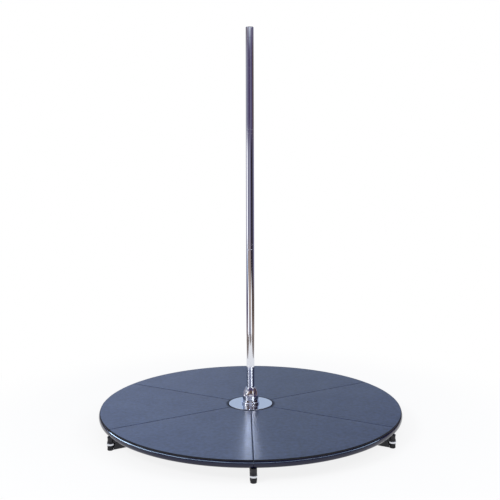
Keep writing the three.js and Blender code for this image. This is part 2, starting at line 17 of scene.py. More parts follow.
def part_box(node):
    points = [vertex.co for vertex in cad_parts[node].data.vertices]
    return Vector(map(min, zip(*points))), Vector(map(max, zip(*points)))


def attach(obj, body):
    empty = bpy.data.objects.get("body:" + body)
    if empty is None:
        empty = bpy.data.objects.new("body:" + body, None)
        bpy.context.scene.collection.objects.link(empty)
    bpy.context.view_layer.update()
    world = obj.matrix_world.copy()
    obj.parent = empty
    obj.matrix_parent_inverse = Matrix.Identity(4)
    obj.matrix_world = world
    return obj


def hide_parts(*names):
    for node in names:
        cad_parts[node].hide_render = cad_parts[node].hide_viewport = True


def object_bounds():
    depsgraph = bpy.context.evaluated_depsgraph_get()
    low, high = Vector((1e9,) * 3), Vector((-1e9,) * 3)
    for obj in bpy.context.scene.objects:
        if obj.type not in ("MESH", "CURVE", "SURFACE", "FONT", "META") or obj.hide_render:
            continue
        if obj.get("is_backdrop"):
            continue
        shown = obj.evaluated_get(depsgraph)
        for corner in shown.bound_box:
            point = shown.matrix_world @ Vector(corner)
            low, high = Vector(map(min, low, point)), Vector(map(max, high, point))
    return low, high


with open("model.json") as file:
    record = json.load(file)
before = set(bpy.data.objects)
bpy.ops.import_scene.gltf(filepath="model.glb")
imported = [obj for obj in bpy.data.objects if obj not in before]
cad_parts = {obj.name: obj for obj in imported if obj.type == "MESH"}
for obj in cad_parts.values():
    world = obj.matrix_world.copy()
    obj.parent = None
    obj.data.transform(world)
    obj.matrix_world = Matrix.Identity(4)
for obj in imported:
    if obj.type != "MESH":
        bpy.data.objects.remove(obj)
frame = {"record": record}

scene = bpy.context.scene
cad_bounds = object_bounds()
print("CAD box:", [[round(value, 4) for value in corner] for corner in cad_bounds])

# %% [markdown]
# ## Sizes
# The frame is in metres, but a workshop drawing of such a thing is in millimetres, so every
# size here is in millimetres and turns to metres when its mesh is made. Places are read off
# the frame's own boxes wherever a box gives them, which keeps the two models in step.

# %% Sizes read off the frame
MM = 0.001
LEGS = 6
SECTOR = 2 * math.pi / LEGS


def box(node):
    """Lowest and highest corner of a CAD node, in millimetres."""
    low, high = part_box(node)
    return numpy.array(low) / MM, numpy.array(high) / MM


def upright(node):
    """Radius, foot and head of a CAD node that stands round the pole's axis."""
    low, high = box(node)
    return (high[0] - low[0]) / 2, low[2], high[2]


POLE_RADIUS, POLE_FOOT, _ = upright("pole_lower_tube")
STAGE_TOP = box("stage_board_1")[1][2]
STAGE_RADIUS = box("rim_trim_1")[1][0]
print("pole radius", round(POLE_RADIUS, 1), "stage top", round(STAGE_TOP, 1))

# %% [markdown]
# ## From formulas to meshes
# Blender can turn a profile with its Screw or Spin tools, but a formula also does threads,
# knurls and chamfered hexagons, which those tools can't. So each surface is an array of rows
# and columns of points, and one helper joins neighbouring points into four-sided faces. The
# rows that meet the axis collapse to one point, and merging doubles closes the pole.

# %% Shells from grids of points
MERGE_GAP = 0.002  # millimetres: points closer than this are one point
THIN_GAP = 0.001  # millimetres: edges shorter than this are dropped
SHARP_ANGLE = math.radians(32)


def shell(points, rows_closed=False, capped=False):
    """Points and faces of a grid whose columns close on themselves.
    Rows may close as well, as on a ring, or the first and last row may each be capped."""
    rows, columns, _ = points.shape
    row = numpy.arange(rows if rows_closed else rows - 1)[:, None]
    column = numpy.arange(columns)[None, :]
    beside, above = (column + 1) % columns, (row + 1) % rows
    corners = [row * columns + column, row * columns + beside]
    corners += [above * columns + beside, above * columns + column]
    faces = numpy.stack(corners, axis=-1).reshape(-1, 4).tolist()
    if capped:
        first = numpy.arange(columns)
        faces += [first.tolist(), (first + (rows - 1) * columns).tolist()]
    return points.reshape(-1, 3), faces


def build(name, *shells):
    """A mesh of closed shells, in metres, with doubles merged and faces turned outwards."""
    points, faces, count = [], [], 0
    for shell_points, shell_faces in shells:
        points.append(shell_points)
        faces += [[corner + count for corner in face] for face in shell_faces]
        count += len(shell_points)
    mesh = bpy.data.meshes.new(name)
    mesh.from_pydata(numpy.concatenate(points) * MM, [], faces)
    return tidied(mesh)


def tidied(mesh):
    """The same mesh merged, turned outwards and shaded smooth between its sharp edges."""
    work = bmesh.new()
    work.from_mesh(mesh)
    bmesh.ops.remove_doubles(work, verts=work.verts, dist=MERGE_GAP * MM)
    bmesh.ops.dissolve_degenerate(work, edges=work.edges, dist=THIN_GAP * MM)
    bmesh.ops.recalc_face_normals(work, faces=work.faces)
    work.to_mesh(mesh)
    work.free()
    mesh.shade_smooth()
    mesh.set_sharp_from_angle(angle=SHARP_ANGLE)
    return mesh


# %% [markdown]
# ## Outlines and turned shapes
# No made edge is truly sharp, and a small rounding catches the line of light that tells the
# eye it is real. So every outline passes through one helper that bends its corners. A turned
# shape carries its outline round the axis, and an outline's radius may change on the way.

# %% Rounded outlines and turned surfaces
ROUND_STEPS = 96  # a multiple of six, so a hexagon's corners fall on the grid


def rounded(corners, radius, steps=4):
    """An outline with each corner cut back by its radius and bent: a quadratic curve from
    one cut to the other, pulled towards the corner."""
    corners = numpy.array(corners, float)
    ahead = numpy.roll(corners, -1, axis=0) - corners
    behind = numpy.roll(corners, 1, axis=0) - corners
    ahead /= numpy.linalg.norm(ahead, axis=1, keepdims=True)
    behind /= numpy.linalg.norm(behind, axis=1, keepdims=True)
    cut = numpy.broadcast_to(radius, len(corners))[:, None]
    start, end = (corners + behind * cut)[:, None], (corners + ahead * cut)[:, None]
    t = numpy.linspace(0, 1, steps + 1)[None, :, None]
    bend = (1 - t) ** 2 * start + 2 * t * (1 - t) * corners[:, None] + t**2 * end
    return bend.reshape(-1, 2)


def polar(radius, angle, height):
    """Points at x = r cos a, y = r sin a and z = h."""
    radius, angle, height = numpy.broadcast_arrays(radius, angle, height)
    return numpy.stack([radius * numpy.cos(angle), radius * numpy.sin(angle), height], axis=-1)


def turned(*rings, steps=ROUND_STEPS):
    """Points turned about Z. A ring is an outline of [r, h] points, or a pair (r, h) whose
    numbers may differ with the angle a."""
    sheets = []
    for ring in rings:
        radius, height = ring.T[..., None] if isinstance(ring, numpy.ndarray) else ring
        shape = numpy.broadcast_shapes((1, steps), numpy.shape(radius), numpy.shape(height))
        sheets.append([numpy.broadcast_to(radius, shape), numpy.broadcast_to(height, shape)])
    radius, height = numpy.concatenate(sheets, axis=1)
    return polar(radius, numpy.arange(steps) * 2 * math.pi / steps, height)


def lathe(name, corners, radius, steps=ROUND_STEPS):
    """A solid turned from a closed outline that stays off the axis."""
    return build(name, shell(turned(rounded(corners, radius), steps=steps), rows_closed=True))


# %% [markdown]
# ## Hexagons and threads
# A bolt's head is a hexagon whose corners are turned off by a cone, which leaves the curved
# edge that everyone knows from real bolts. A thread is a ridge that climbs one pitch a turn.
# Both could be cut with booleans, but as formulas of the angle they need no cutting at all.

# %% Hexagon and thread formulas
CHAMFER_SLOPE = math.tan(math.radians(30))
CHAMFER_SHARE = 0.96  # radius of the chamfer's circle over the radius of the flats
THREAD_ROWS = 6  # rows of points to each pitch


def hexagon(flat, steps=ROUND_STEPS):
    """Radius of a hexagon at each angle: its flat's radius over the cosine of the angle from
    the middle of that flat."""
    angle = numpy.arange(steps) * 2 * math.pi / steps
    return flat / numpy.cos(angle % SECTOR - SECTOR / 2)


def hexagon_head(corner, low, high, steps=ROUND_STEPS):
    """Rings of a hexagon head, chamfered at its top: the edge drops by the cone's slope times
    how far the hexagon stands past the chamfer's circle."""
    flat = corner * math.cos(SECTOR / 2)
    circle = CHAMFER_SHARE * flat
    radius = hexagon(flat, steps)
    return [(radius, low), (radius, high - (radius - circle) * CHAMFER_SLOPE), (circle, high)]


def thread(radius, low, high, pitch, depth, steps=ROUND_STEPS):
    """Rings of a screw thread: the radius falls by the depth times a triangle wave of the
    height over the pitch less the turn, and the ridge dies out over the end pitches."""
    height = numpy.linspace(low, high, math.ceil((high - low) / pitch * THREAD_ROWS))[:, None]
    turn = numpy.arange(steps)[None, :] / steps
    wave = numpy.abs(2 * ((height / pitch - turn) % 1) - 1)
    ends = numpy.clip(numpy.minimum(height - low, high - height) / pitch, 0, 1)
    return radius - depth * wave * ends, height


# %% [markdown]
# ## Seating a piece
# A finished piece takes the place of one CAD node: it hides that node, rides on the same body
# and names the same finish. The record already says which body and which finish each node
# has, so one helper reads them and no piece can be seated on the wrong thing.

# %% Seat pieces on their bodies
record = frame["record"]
body_of = {node: body for body, nodes in record["behaviour"]["bodies"].items() for node in nodes}
slot_of = {part["node"]: part["material_slot"] for part in record["subparts"]}
finishes = {}


def seat(mesh, node):
    """Puts a mesh in the place of a CAD node, on its body and in its finish."""
    piece = bpy.data.objects.new(f"fine_{node}", mesh)
    scene.collection.objects.link(piece)
    mesh.materials.clear()
    mesh.materials.append(finishes[slot_of[node]])
    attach(piece, body_of[node])
    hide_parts(node)
    weights = piece.modifiers.new("face_weights", "WEIGHTED_NORMAL")
    weights.keep_sharp = True
    return piece


def copied(mesh, angle):
    """A copy of a mesh turned about Z."""
    copy = mesh.copy()
    copy.transform(Matrix.Rotation(angle, 4, "Z"))
    return copy


def six(mesh, first=SECTOR / 2):
    """Six copies of a mesh round the axis. The first stands where leg 1 is, half a sector
    round, under the seam between two boards, unless another angle is given."""
    return [copied(mesh, first + index * SECTOR) for index in range(LEGS)]


def seat_six(mesh, stem, first=SECTOR / 2):
    """Seats six copies of a mesh in the places of the six CAD nodes that share a name."""
    return [seat(copy, f"{stem}_{index + 1}") for index, copy in enumerate(six(mesh, first))]


def carved(mesh, operation, *tools):
    """A mesh with each tool added (UNION) or taken away (DIFFERENCE), worked out exactly."""
    body = bpy.data.objects.new("carved", mesh)
    scene.collection.objects.link(body)
    others = [bpy.data.objects.new("tool", tool) for tool in tools]
    for other in others:
        scene.collection.objects.link(other)
        modifier = body.modifiers.new("carve", "BOOLEAN")
        modifier.object = other
        modifier.operation = operation
        modifier.solver = "EXACT"
    graph = bpy.context.evaluated_depsgraph_get()
    result = bpy.data.meshes.new_from_object(body.evaluated_get(graph))
    for piece in [body, *others]:
        bpy.data.objects.remove(piece)
    return tidied(result)


# %% [markdown]
# ## Colours and nodes
# Hex colours are sRGB, as a paint chart or a photo editor gives them, but shaders add light
# in linear numbers. One function turns the first into the second. A second one adds a node,
# sets its values and links its inputs, so a material reads as a short list of its steps.
# Most finishes are a little uneven, and the patch that is duller is often the paler one as
# well, so one function lets a single noise drive both the colour and the roughness.

# %% Colour and node helpers
def linear(code):
    """Linear red, green, blue and alpha of an sRGB hex colour."""
    channels = numpy.array([code >> 16 & 255, code >> 8 & 255, code & 255]) / 255
    low, high = channels / 12.92, ((channels + 0.055) / 1.055) ** 2.4
    return (*numpy.where(channels <= 0.04045, low, high).tolist(), 1.0)


def connect(tree, node, inputs):
    """Gives a node its inputs. Each is a plain value, or an output to link from."""
    for name, value in inputs.items():
        if isinstance(value, bpy.types.NodeSocket):
            tree.links.new(value, node.inputs[name])
        else:
            node.inputs[name].default_value = value
    return node


def add(tree, kind, inputs=None, **settings):
    """Adds a shader node with its settings and its inputs."""
    node = tree.nodes.new("ShaderNode" + kind)
    for name, value in settings.items():
        setattr(node, name, value)
    return connect(tree, node, inputs or {})


def output(tree, kind, inputs=None, socket=0, **settings):
    """One output of a new node: its first, unless another is asked for."""
    return add(tree, kind, inputs, **settings).outputs[socket]


def from_axis(tree, place):
    """A place's X, Y and Z, and its level distance from the pole's axis."""
    part = add(tree, "SeparateXYZ", {"Vector": place}).outputs
    flat = output(tree, "CombineXYZ", {"X": part["X"], "Y": part["Y"]})
    return part, output(tree, "VectorMath", {0: flat}, operation="LENGTH", socket="Value")


def finish(slot, name):
    """A new material for a slot: its tree, its shader and its surface in metres."""
    material = bpy.data.materials.new(name)
    material.use_nodes = True
    finishes[slot] = material
    tree = material.node_tree
    place = output(tree, "TexCoord", socket="Object")
    return tree, tree.nodes["Principled BSDF"], place


def ramp(tree, factor, low, high):
    """A colour ramp from one hex colour to another."""
    node = add(tree, "ValToRGB", {"Fac": factor})
    for element, code in zip(node.color_ramp.elements, (low, high)):
        element.color = linear(code)
    return node.outputs["Color"]


def noise(tree, place, size, **inputs):
    """Fractal noise whose blotches are about this many millimetres across."""
    values = {"Vector": place, "Scale": 1 / (size * MM), **inputs}
    return output(tree, "TexNoise", values)


def spread(tree, value, low, high):
    """A noise value stretched to run from low to high."""
    inputs = {"Value": value, "From Min": 0.3, "From Max": 0.7, "To Min": low, "To Max": high}
    return output(tree, "MapRange", inputs)


def mottled(slot, name, size, detail, colours, gloss):
    """A finish whose blotches, about this many millimetres across, run between two colours
    and between two roughnesses."""
    tree, shader, place = finish(slot, name)
    blotches = noise(tree, place, size, Detail=detail)
    tone = ramp(tree, spread(tree, blotches, 0.0, 1.0), *colours)
    connect(tree, shader, {"Base Color": tone, "Roughness": spread(tree, blotches, *gloss)})
    return tree, shader, place


# %% [markdown]
# ## Leatherette
# The boards are plywood wrapped in foam and PVC leatherette. It is a plastic film rolled hot
# over an embossed drum, which leaves pebbles about two millimetres wide with creases between.
# The film is dark blue-grey, mottled by handling, and half glossy, so at a low angle it takes
# on the backdrop. Noises of three sizes give the mottle, the worn patches and the dents.

# %% Embossed leatherette
PEBBLE = 2.2
tree, shader, place = finish("leatherette", "embossed_pvc_leatherette")
pebbles = {"Vector": place, "Scale": 1 / (PEBBLE * MM), "Randomness": 0.9}
pebbles = output(tree, "TexVoronoi", pebbles, feature="SMOOTH_F1")
mottle = noise(tree, place, 24, Detail=5.0, Roughness=0.7)
dents = noise(tree, place, 90, Detail=1.0)
wear = noise(tree, place, 170, Detail=3.0)
film_tone = ramp(tree, spread(tree, mottle, 0.0, 1.0), 0x121A2C, 0x333F61)
film_gloss = spread(tree, wear, 0.29, 0.33)
bump = {"Height": pebbles, "Strength": 0.2, "Distance": 0.2 * MM}
bump = output(tree, "Bump", bump)
bump = {"Height": dents, "Strength": 0.08, "Distance": 1.0 * MM, "Normal": bump}
bump = output(tree, "Bump", bump)
connect(tree, shader, {"IOR": 1.52, "Normal": bump})
print("leatherette pebbles", PEBBLE, "mm")

# %% [markdown]
# ## Dark outer edge and painted shadow round the disc
# A matt black ring darkens the board's outer edge, beside the trim. Round the disc a dark
# ring is painted shadow, standing in for the shade under the disc's edge. Both are rings, so
# both are a function of the distance from the pole's axis: one rises at the outer edge, the
# other falls away from the disc, and the larger of the two says how much of the film is
# darkened.

# %% Matt black rings on the boards
BAND_RADIUS = STAGE_RADIUS - 8
# where the painted shadow round the disc starts and where it has faded out, in millimetres from
# the axis
PAINTED_SHADOW_START, PAINTED_SHADOW_END = 140, 156
RING_COLOUR, RING_ROUGHNESS = 0x0A0A0E, 0.7
_, reach = from_axis(tree, place)
band = {"Value": reach, "From Min": (BAND_RADIUS - 1) * MM, "From Max": BAND_RADIUS * MM}
band = output(tree, "MapRange", band)
# painted shadow: a dark matt ring round the disc, darkest at its edge, stands in for the disc's
# contact shadow
painted_shadow = {"Value": reach, "From Min": PAINTED_SHADOW_START * MM, "From Max": PAINTED_SHADOW_END * MM}
painted_shadow = output(tree, "MapRange", {**painted_shadow, "To Min": 1.0, "To Max": 0.0})
cover = output(tree, "Math", {0: band, 1: painted_shadow}, operation="MAXIMUM")
tone = {0: cover, 6: film_tone, 7: linear(RING_COLOUR)}
tone = output(tree, "Mix", tone, data_type="RGBA", socket=2)
gloss = {"Value": cover, "To Min": film_gloss, "To Max": RING_ROUGHNESS}
gloss = output(tree, "MapRange", gloss)
connect(tree, shader, {"Base Color": tone, "Roughness": gloss})
print("edge band", round(STAGE_RADIUS - BAND_RADIUS), "mm wide")

# %% [markdown]
# ## Gloss black trim
# The edge trim is PVC pushed hot through a die. It comes out glossy and almost black, with
# faint waves along its length where it was drawn off. Those waves are too shallow to see as
# shape, but they bend the reflections, so they are a bump far wider than it is deep.

# %% Extruded gloss trim
tree, shader, place = finish("gloss_trim", "extruded_gloss_pvc")
waves = noise(tree, place, 60, Detail=2.0)
dust = noise(tree, place, 9, Detail=4.0)
bump = output(tree, "Bump", {"Height": waves, "Strength": 0.2, "Distance": 0.5 * MM})
connect(tree, shader, {"Base Color": linear(0x06082A), "Roughness": spread(tree, dust, 0.1, 0.17)})
connect(tree, shader, {"IOR": 1.47, "Normal": bump})

# %% [markdown]
# ## Black powder coat
# Arms and hub are welded steel, sprayed with dry black powder and baked. The powder melts to
# a tough skin with a fine orange-peel, so it is a plastic to the eye and not a metal: dark,
# rather matt, with soft highlights broken up by dimples about a millimetre and a half wide.

# %% Powder coat
coat = {"size": 45, "detail": 3.0, "colours": (0x121218, 0x1B1B22), "gloss": (0.42, 0.55)}
tree, shader, place = mottled("black_powder_coat", "black_powder_coat", **coat)
peel = noise(tree, place, 1.6, Detail=2.0)
bump = output(tree, "Bump", {"Height": peel, "Strength": 0.3, "Distance": 0.2 * MM})
connect(tree, shader, {"Normal": bump})

# %% [markdown]
# ## Polished chrome
# The pole, dome and disc are steel, polished and plated with chromium, a bright metal with a
# cool cast. It is almost a mirror, so most of its look is the room. What is its own is a haze
# of hand smudges, which only change the roughness, in patches a few centimetres long.

# %% Chrome plate
tree, shader, place = finish("polished_chrome", "polished_chrome_plate")
smudges = noise(tree, place, 35, Detail=6.0, Roughness=0.6, Distortion=0.8)
chrome = {"Base Color": linear(0xDDDFE6), "Metallic": 1.0}
connect(tree, shader, {**chrome, "Roughness": spread(tree, smudges, 0.03, 0.09)})

# %% [markdown]
# ## Bright zinc
# The levelling screws are zinc plated and left bright, with a pale blue cast from the bath
# that seals them. The plate is satin and not a mirror, and its crystals mottle it slightly.

# %% Zinc plate
zinc = {"size": 4, "detail": 5.0, "colours": (0xD3D6DC, 0xE6E8EC), "gloss": (0.2, 0.32)}
tree, shader, _ = mottled("bright_zinc", "bright_zinc_plate", **zinc)
connect(tree, shader, {"Metallic": 1.0})

# %% [markdown]
# ## Turned steel
# A lathe tool leaves a fine spiral groove on the spindle and the bearing cap, which spreads
# a highlight across the rings. The real feed is about a tenth of a millimetre. The grooves
# here lie three millimetres apart, because finer ones would only turn to noise in the picture.

# %% Turned steel
GROOVE_PITCH = 3.14
WAVE_LENGTH = 0.314  # between the crests of the wave texture at a scale of one
steel = {"size": 25, "detail": 4.0, "colours": (0x8F9196, 0xA9ABB0), "gloss": (0.28, 0.4)}
tree, shader, place = mottled("turned_steel", "turned_mild_steel", **steel)
grooves = {"Vector": place, "Scale": WAVE_LENGTH / (GROOVE_PITCH * MM), "Distortion": 0.3}
rings = {"wave_type": "RINGS", "rings_direction": "Z"}
grooves = output(tree, "TexWave", grooves, socket="Fac", **rings)
bump = output(tree, "Bump", {"Height": grooves, "Strength": 0.15, "Distance": 0.05 * MM})
connect(tree, shader, {"Metallic": 1.0, "Normal": bump})

# %% [markdown]
# ## Bearing steel
# Bearing rings and balls are hard chromium steel, ground and lapped. The surface is close to
# a mirror, a little darker than chrome plate, with a thin film of oil that varies the gloss.

# %% Ground bearing steel
tree, shader, place = finish("bearing_steel", "ground_bearing_steel")
oil = noise(tree, place, 12, Detail=3.0)
ground = {"Base Color": linear(0xB4B6BA), "Metallic": 1.0}
connect(tree, shader, {**ground, "Roughness": spread(tree, oil, 0.08, 0.2)})

# %% [markdown]
# ## Black oxide
# Screws and nuts are blackened in a hot salt bath and oiled. The black is a skin of iron
# oxide a micron thick over steel, so it still reflects as a dark metal, uneven where the oil
# has pooled and a little brighter where handling has thinned it.

# %% Black oxide
oxide = {"size": 6, "detail": 4.0, "colours": (0x1E1E22, 0x35353A), "gloss": (0.32, 0.5)}
tree, shader, _ = mottled("black_oxide", "oiled_black_oxide", **oxide)
connect(tree, shader, {"Metallic": 1.0})

# %% [markdown]
# ## Foot rubber
# The feet are moulded rubber, black with soot. A mould that was sand-blasted leaves the skin
# matt and very finely rough, and floor dust greys it in patches.

# %% Moulded rubber
rubber = {"size": 14, "detail": 5.0, "colours": (0x141417, 0x222225), "gloss": (0.62, 0.78)}
tree, shader, place = mottled("foot_rubber", "moulded_black_rubber", **rubber)
skin = noise(tree, place, 0.9, Detail=2.0)
bump = output(tree, "Bump", {"Height": skin, "Strength": 0.3, "Distance": 0.15 * MM})
connect(tree, shader, {"IOR": 1.52, "Normal": bump})
print(len(finishes), "finishes for", len(set(slot_of.values())), "slots")

# %% [markdown]
# ## The pole's tubes
# Each tube is drawn steel with its ends turned square and its edges broken, so that two tubes
# meet the coupler's band with a fine line at each end. A turned closed outline gives both
# walls and both ends at once, with no modifier.

# %% Pole tubes
TUBE_WALL = 2.5
TUBE_EDGE = 0.7
for place_name in ("lower", "middle", "upper"):
    node = f"pole_{place_name}_tube"
    radius, low, high = upright(node)
    bore = radius - TUBE_WALL
    corners = [[bore, low], [radius, low], [radius, high], [bore, high]]
    seat(lathe(f"{node}_wall", corners, TUBE_EDGE), node)
    print(node, round(high - low), "mm long")

# %% [markdown]
# ## Couplers
# A coupler is a steel plug sawn in two along its length. A jack screw pushes the halves apart
# until they grip both tubes from inside, and the band between them lies flush with the pole.
# Each jaw is a half-round section carried up an outline, and its screw hole is cut exactly.

# %% Coupler jaws
JAW_LENGTH = 55
JAW_CHAMFER = 2
BAND_EDGE = 0.6
JAW_COLUMNS = 72
DRILL_STEPS = 48
JACK_RADIUS = 5
JACK_FIT = 0.3
JACK_SEAT = 4


def along_y(points):
    """Points turned from standing along Z to lying along Y."""
    return points[..., [0, 2, 1]]


def along_x(points):
    """Points turned from standing along Z to lying along X."""
    return points[..., [2, 0, 1]]


def half_round(outline, split, side):
    """Points of a half-round bar: at radius r the arc runs from the angle whose sine is the
    split over r to the same angle on the far side, and the last column closes the flat."""
    radius, height = outline.T[..., None]
    start = numpy.arcsin(split / radius)
    angle = start + (math.pi - 2 * start) * numpy.linspace(0, 1, JAW_COLUMNS)
    return polar(radius, angle, height) * [1, side, 1]


def drill(lay, radius, start, end, level):
    """A plain round bar laid along an axis at a level, used to cut a hole."""
    outline = numpy.array([[0, start], [radius, start], [radius, end], [0, end]])
    return build("drill", shell(lay(turned(outline, steps=DRILL_STEPS)) + [0, 0, level]))


for place_name in ("lower", "upper"):
    _, jaw_low, jaw_high = upright(f"{place_name}_coupler_front_jaw")
    split = -box(f"{place_name}_coupler_front_jaw")[1][1]
    band_low, band_high = jaw_low + JAW_LENGTH, jaw_high - JAW_LENGTH
    middle = (band_low + band_high) / 2
    spigot = POLE_RADIUS - TUBE_WALL - JACK_FIT
    rise = [
        [spigot - JAW_CHAMFER, jaw_low], [spigot, jaw_low + JAW_CHAMFER], [spigot, band_low],
        [POLE_RADIUS, band_low], [POLE_RADIUS, band_high], [spigot, band_high],
        [spigot, jaw_high - JAW_CHAMFER], [spigot - JAW_CHAMFER, jaw_high],
    ]
    outline = rounded(rise, [0, 0.5, 0.5, BAND_EDGE, BAND_EDGE, 0.5, 0.5, 0])
    hole_end = -(split + JACK_SEAT)
    for side, jaw in ((-1, "front"), (1, "back")):
        node = f"{place_name}_coupler_{jaw}_jaw"
        blank = build(f"{node}_steel", shell(half_round(outline, split, side), capped=True))
        cutter = drill(along_y, JACK_RADIUS + JACK_FIT, hole_end, 2 * POLE_RADIUS, middle)
        seat(carved(blank, "DIFFERENCE", cutter), node)

# %% [markdown]
# ## Screws with a hexagon socket
# The jack screws and the two spin locks are grub screws: no head, a chamfered tip and a
# socket for a hexagon key in the other end. The socket is the same surface as the thread,
# folded inwards at the end, where its rings change from a circle to a hexagon.

# %% Grub screws
SCREW_EDGE = 0.6
THREAD_DEPTH = 0.35
SCREW_STEPS = 48


def grub_screw(radius, tip, end, pitch, socket, depth, point):
    """Rings of a grub screw from its chamfered point to the floor of its hexagon socket. The
    socket is given by the radius of its corners, and its floor is the cone a drill leaves."""
    key = hexagon(socket * math.cos(SECTOR / 2), SCREW_STEPS)
    return turned(
        (0, tip),
        (radius - point, tip),
        thread(radius, tip + point, end - SCREW_EDGE, pitch, THREAD_DEPTH, SCREW_STEPS),
        (radius - SCREW_EDGE, end),
        (key, end),
        (key, end - depth),
        (0, end - depth - socket / 2),
        steps=SCREW_STEPS,
    )


jack_sizes = {"pitch": 0.75, "socket": 2.9, "depth": 6, "point": 1.2}
for place_name in ("lower", "upper"):
    node = f"{place_name}_coupler_jack_screw"
    low, high = box(node)
    level = (low[2] + high[2]) / 2
    screw = along_y(grub_screw((high[0] - low[0]) / 2, low[1], high[1], **jack_sizes))
    seat(build(f"{node}_steel", shell(screw + [0, 0, level])), node)

lock_sizes = {"pitch": 1, "socket": 2.3, "depth": 4, "point": 1.8}
low, high = box("spin_lock_right")
lock = along_x(grub_screw((high[1] - low[1]) / 2, low[0], high[0], **lock_sizes))
lock_mesh = build("spin_lock_steel", shell(lock + [0, 0, (low[2] + high[2]) / 2]))
seat(copied(lock_mesh, 0), "spin_lock_right")
seat(copied(lock_mesh, math.pi), "spin_lock_left")
print("grub screws:", len(lock_mesh.polygons), "faces each")

# %% [markdown]
# ## Top plug
# A shallow turned cap with a skirt that pushes into the top tube. Its edge has a generous
# rounding, because hands and legs pass over it. The outline starts and ends on the axis.

# %% Top plug
PLUG_LIP = 3
PLUG_WALL = 3
radius, low, high = upright("pole_top_plug")
skirt = radius - TUBE_WALL - JACK_FIT
under = high - PLUG_LIP
plug = rounded(
    [
        [0, under], [skirt - PLUG_WALL, under], [skirt - PLUG_WALL, low], [skirt, low],
        [skirt, under], [radius, under], [radius, high], [0, high],
    ],
    [0, 1, 0.5, 0.8, 0, 0.3, 1.6, 0],
)
seat(build("top_plug_chrome", shell(turned(plug))), "pole_top_plug")

# %% [markdown]
# ## Dome cover
# A bell of spun steel slides down the pole and hides the bearing. It has a plain foot ring,
# an upright skirt, a crisp shoulder and a flare that draws in to the pole. The flare is a
# shallow parabola: it starts with a small angle at the shoulder, which gives the bright line.

# %% Dome cover
DOME_WALL = 2.5
DOME_RADIUS = 50
DOME_FOOT = 12
DOME_SHOULDER = 50
DOME_TOP_RADIUS = 29
DOME_TOP_GAP = 0.7
DOME_BOW = 0.5
DOME_LIP = 0.6
DOME_STEPS, FLARE_ROWS = 144, 25
foot_radius, dome_low, dome_high = upright("dome_cover")
shoulder = dome_low + DOME_SHOULDER
share = numpy.linspace(0, 1, FLARE_ROWS)
fall = (1 - share) * (1 + DOME_BOW * share)
flare = DOME_TOP_RADIUS + (DOME_RADIUS - DOME_TOP_RADIUS) * fall
climb = shoulder + (dome_high - shoulder) * share
skirt = rounded(
    [
        [DOME_RADIUS - DOME_WALL, shoulder], [DOME_RADIUS - DOME_WALL, dome_low],
        [foot_radius, dome_low], [foot_radius, dome_low + DOME_FOOT],
        [DOME_RADIUS, dome_low + DOME_FOOT], [DOME_RADIUS, shoulder],
    ],
    [0, 0.6, 1, 2.5, 1.5, 0],
)
bell = numpy.stack([flare, climb], axis=1)[1:]
lip = rounded(
    [
        [DOME_TOP_RADIUS, dome_high - 0.4], [DOME_TOP_RADIUS - DOME_LIP, dome_high],
        [POLE_RADIUS + DOME_TOP_GAP, dome_high],
        [POLE_RADIUS + DOME_TOP_GAP, dome_high - DOME_WALL],
    ],
    [0, 0.3, 0.3, 0],
)
inside = (bell - [DOME_WALL, 0])[-2::-1]
outline = numpy.concatenate([skirt, bell[:-1], lip, inside])
dome = shell(turned(outline, steps=DOME_STEPS), rows_closed=True)
seat(build("dome_chrome", dome), "dome_cover")
print("dome", round(dome_high - dome_low), "mm high")

# %% [markdown]
# ## Trim disc
# A thin polished disc closes the gap between the boards and the neck. It beds a little into
# the padding under its own weight. Its edge is rolled over, which draws the bright rim round
# the disc. The dark line beneath it is the painted shadow on the boards.

# %% Trim disc
DISC_HOLE = 47.5
DISC_STEPS = 192
radius, low, high = upright("trim_disc")
corners = [[DISC_HOLE, low], [radius, low], [radius, high], [DISC_HOLE, high]]
seat(lathe("trim_disc_chrome", corners, [0.3, 0.4, 1.8, 0.5], DISC_STEPS), "trim_disc")
print("disc", round(2 * radius), "mm across")

# %% [markdown]
# ## Padded boards
# A board is a slice of the stage, wrapped like a cushion: its top edge rolls over softly and
# the film pulls it down along the seams. It could be a bevelled block, but padding swells
# between its edges, so the top is a height map over the slice: the drop depends on how far a
# point lies from the nearest edge. A second sheet closes it underneath.

# %% Padded boards
SEAM_HALF = 1
BOARD_HOLE = 104
BOARD_INSET = 5.5
BOARD_ROLL = 3.5
BOARD_SWELL = 0.7
SWELL_REACH = 45
UNDER_ROUND = 2
DISC_BED = 1
BED_MARGIN, BED_EDGE = 1, 5
EDGE_OFFSETS = numpy.array([0, 0.25, 0.7, 1.5, 2.6, 4.2, 6, 12, 24, 45])
SEAM_OFFSETS, SEAM_REACH = EDGE_OFFSETS[:6], EDGE_OFFSETS[6]
BOARD_COLUMNS = 61
BOARD_ROWS = 81


def smooth(share):
    """Smooth step: 3 s squared less 2 s cubed, held between nought and one."""
    share = numpy.clip(share, 0, 1)
    return share**2 * (3 - 2 * share)


def roll(distance, radius):
    """Drop of a quarter-round edge: r (1 - root of (1 - t squared)), t = 1 - distance / r."""
    t = 1 - numpy.clip(distance / radius, 0, 1)
    return radius * (1 - numpy.sqrt(1 - t**2))


def graded(low, high, count):
    """Steps between two edges: close ones at each edge, even ones between."""
    reach = EDGE_OFFSETS[EDGE_OFFSETS < (high - low) / 4]
    inner = numpy.linspace(low + reach[-1], high - reach[-1], count)[1:-1]
    return numpy.concatenate([low + reach, inner, high - reach[::-1]])


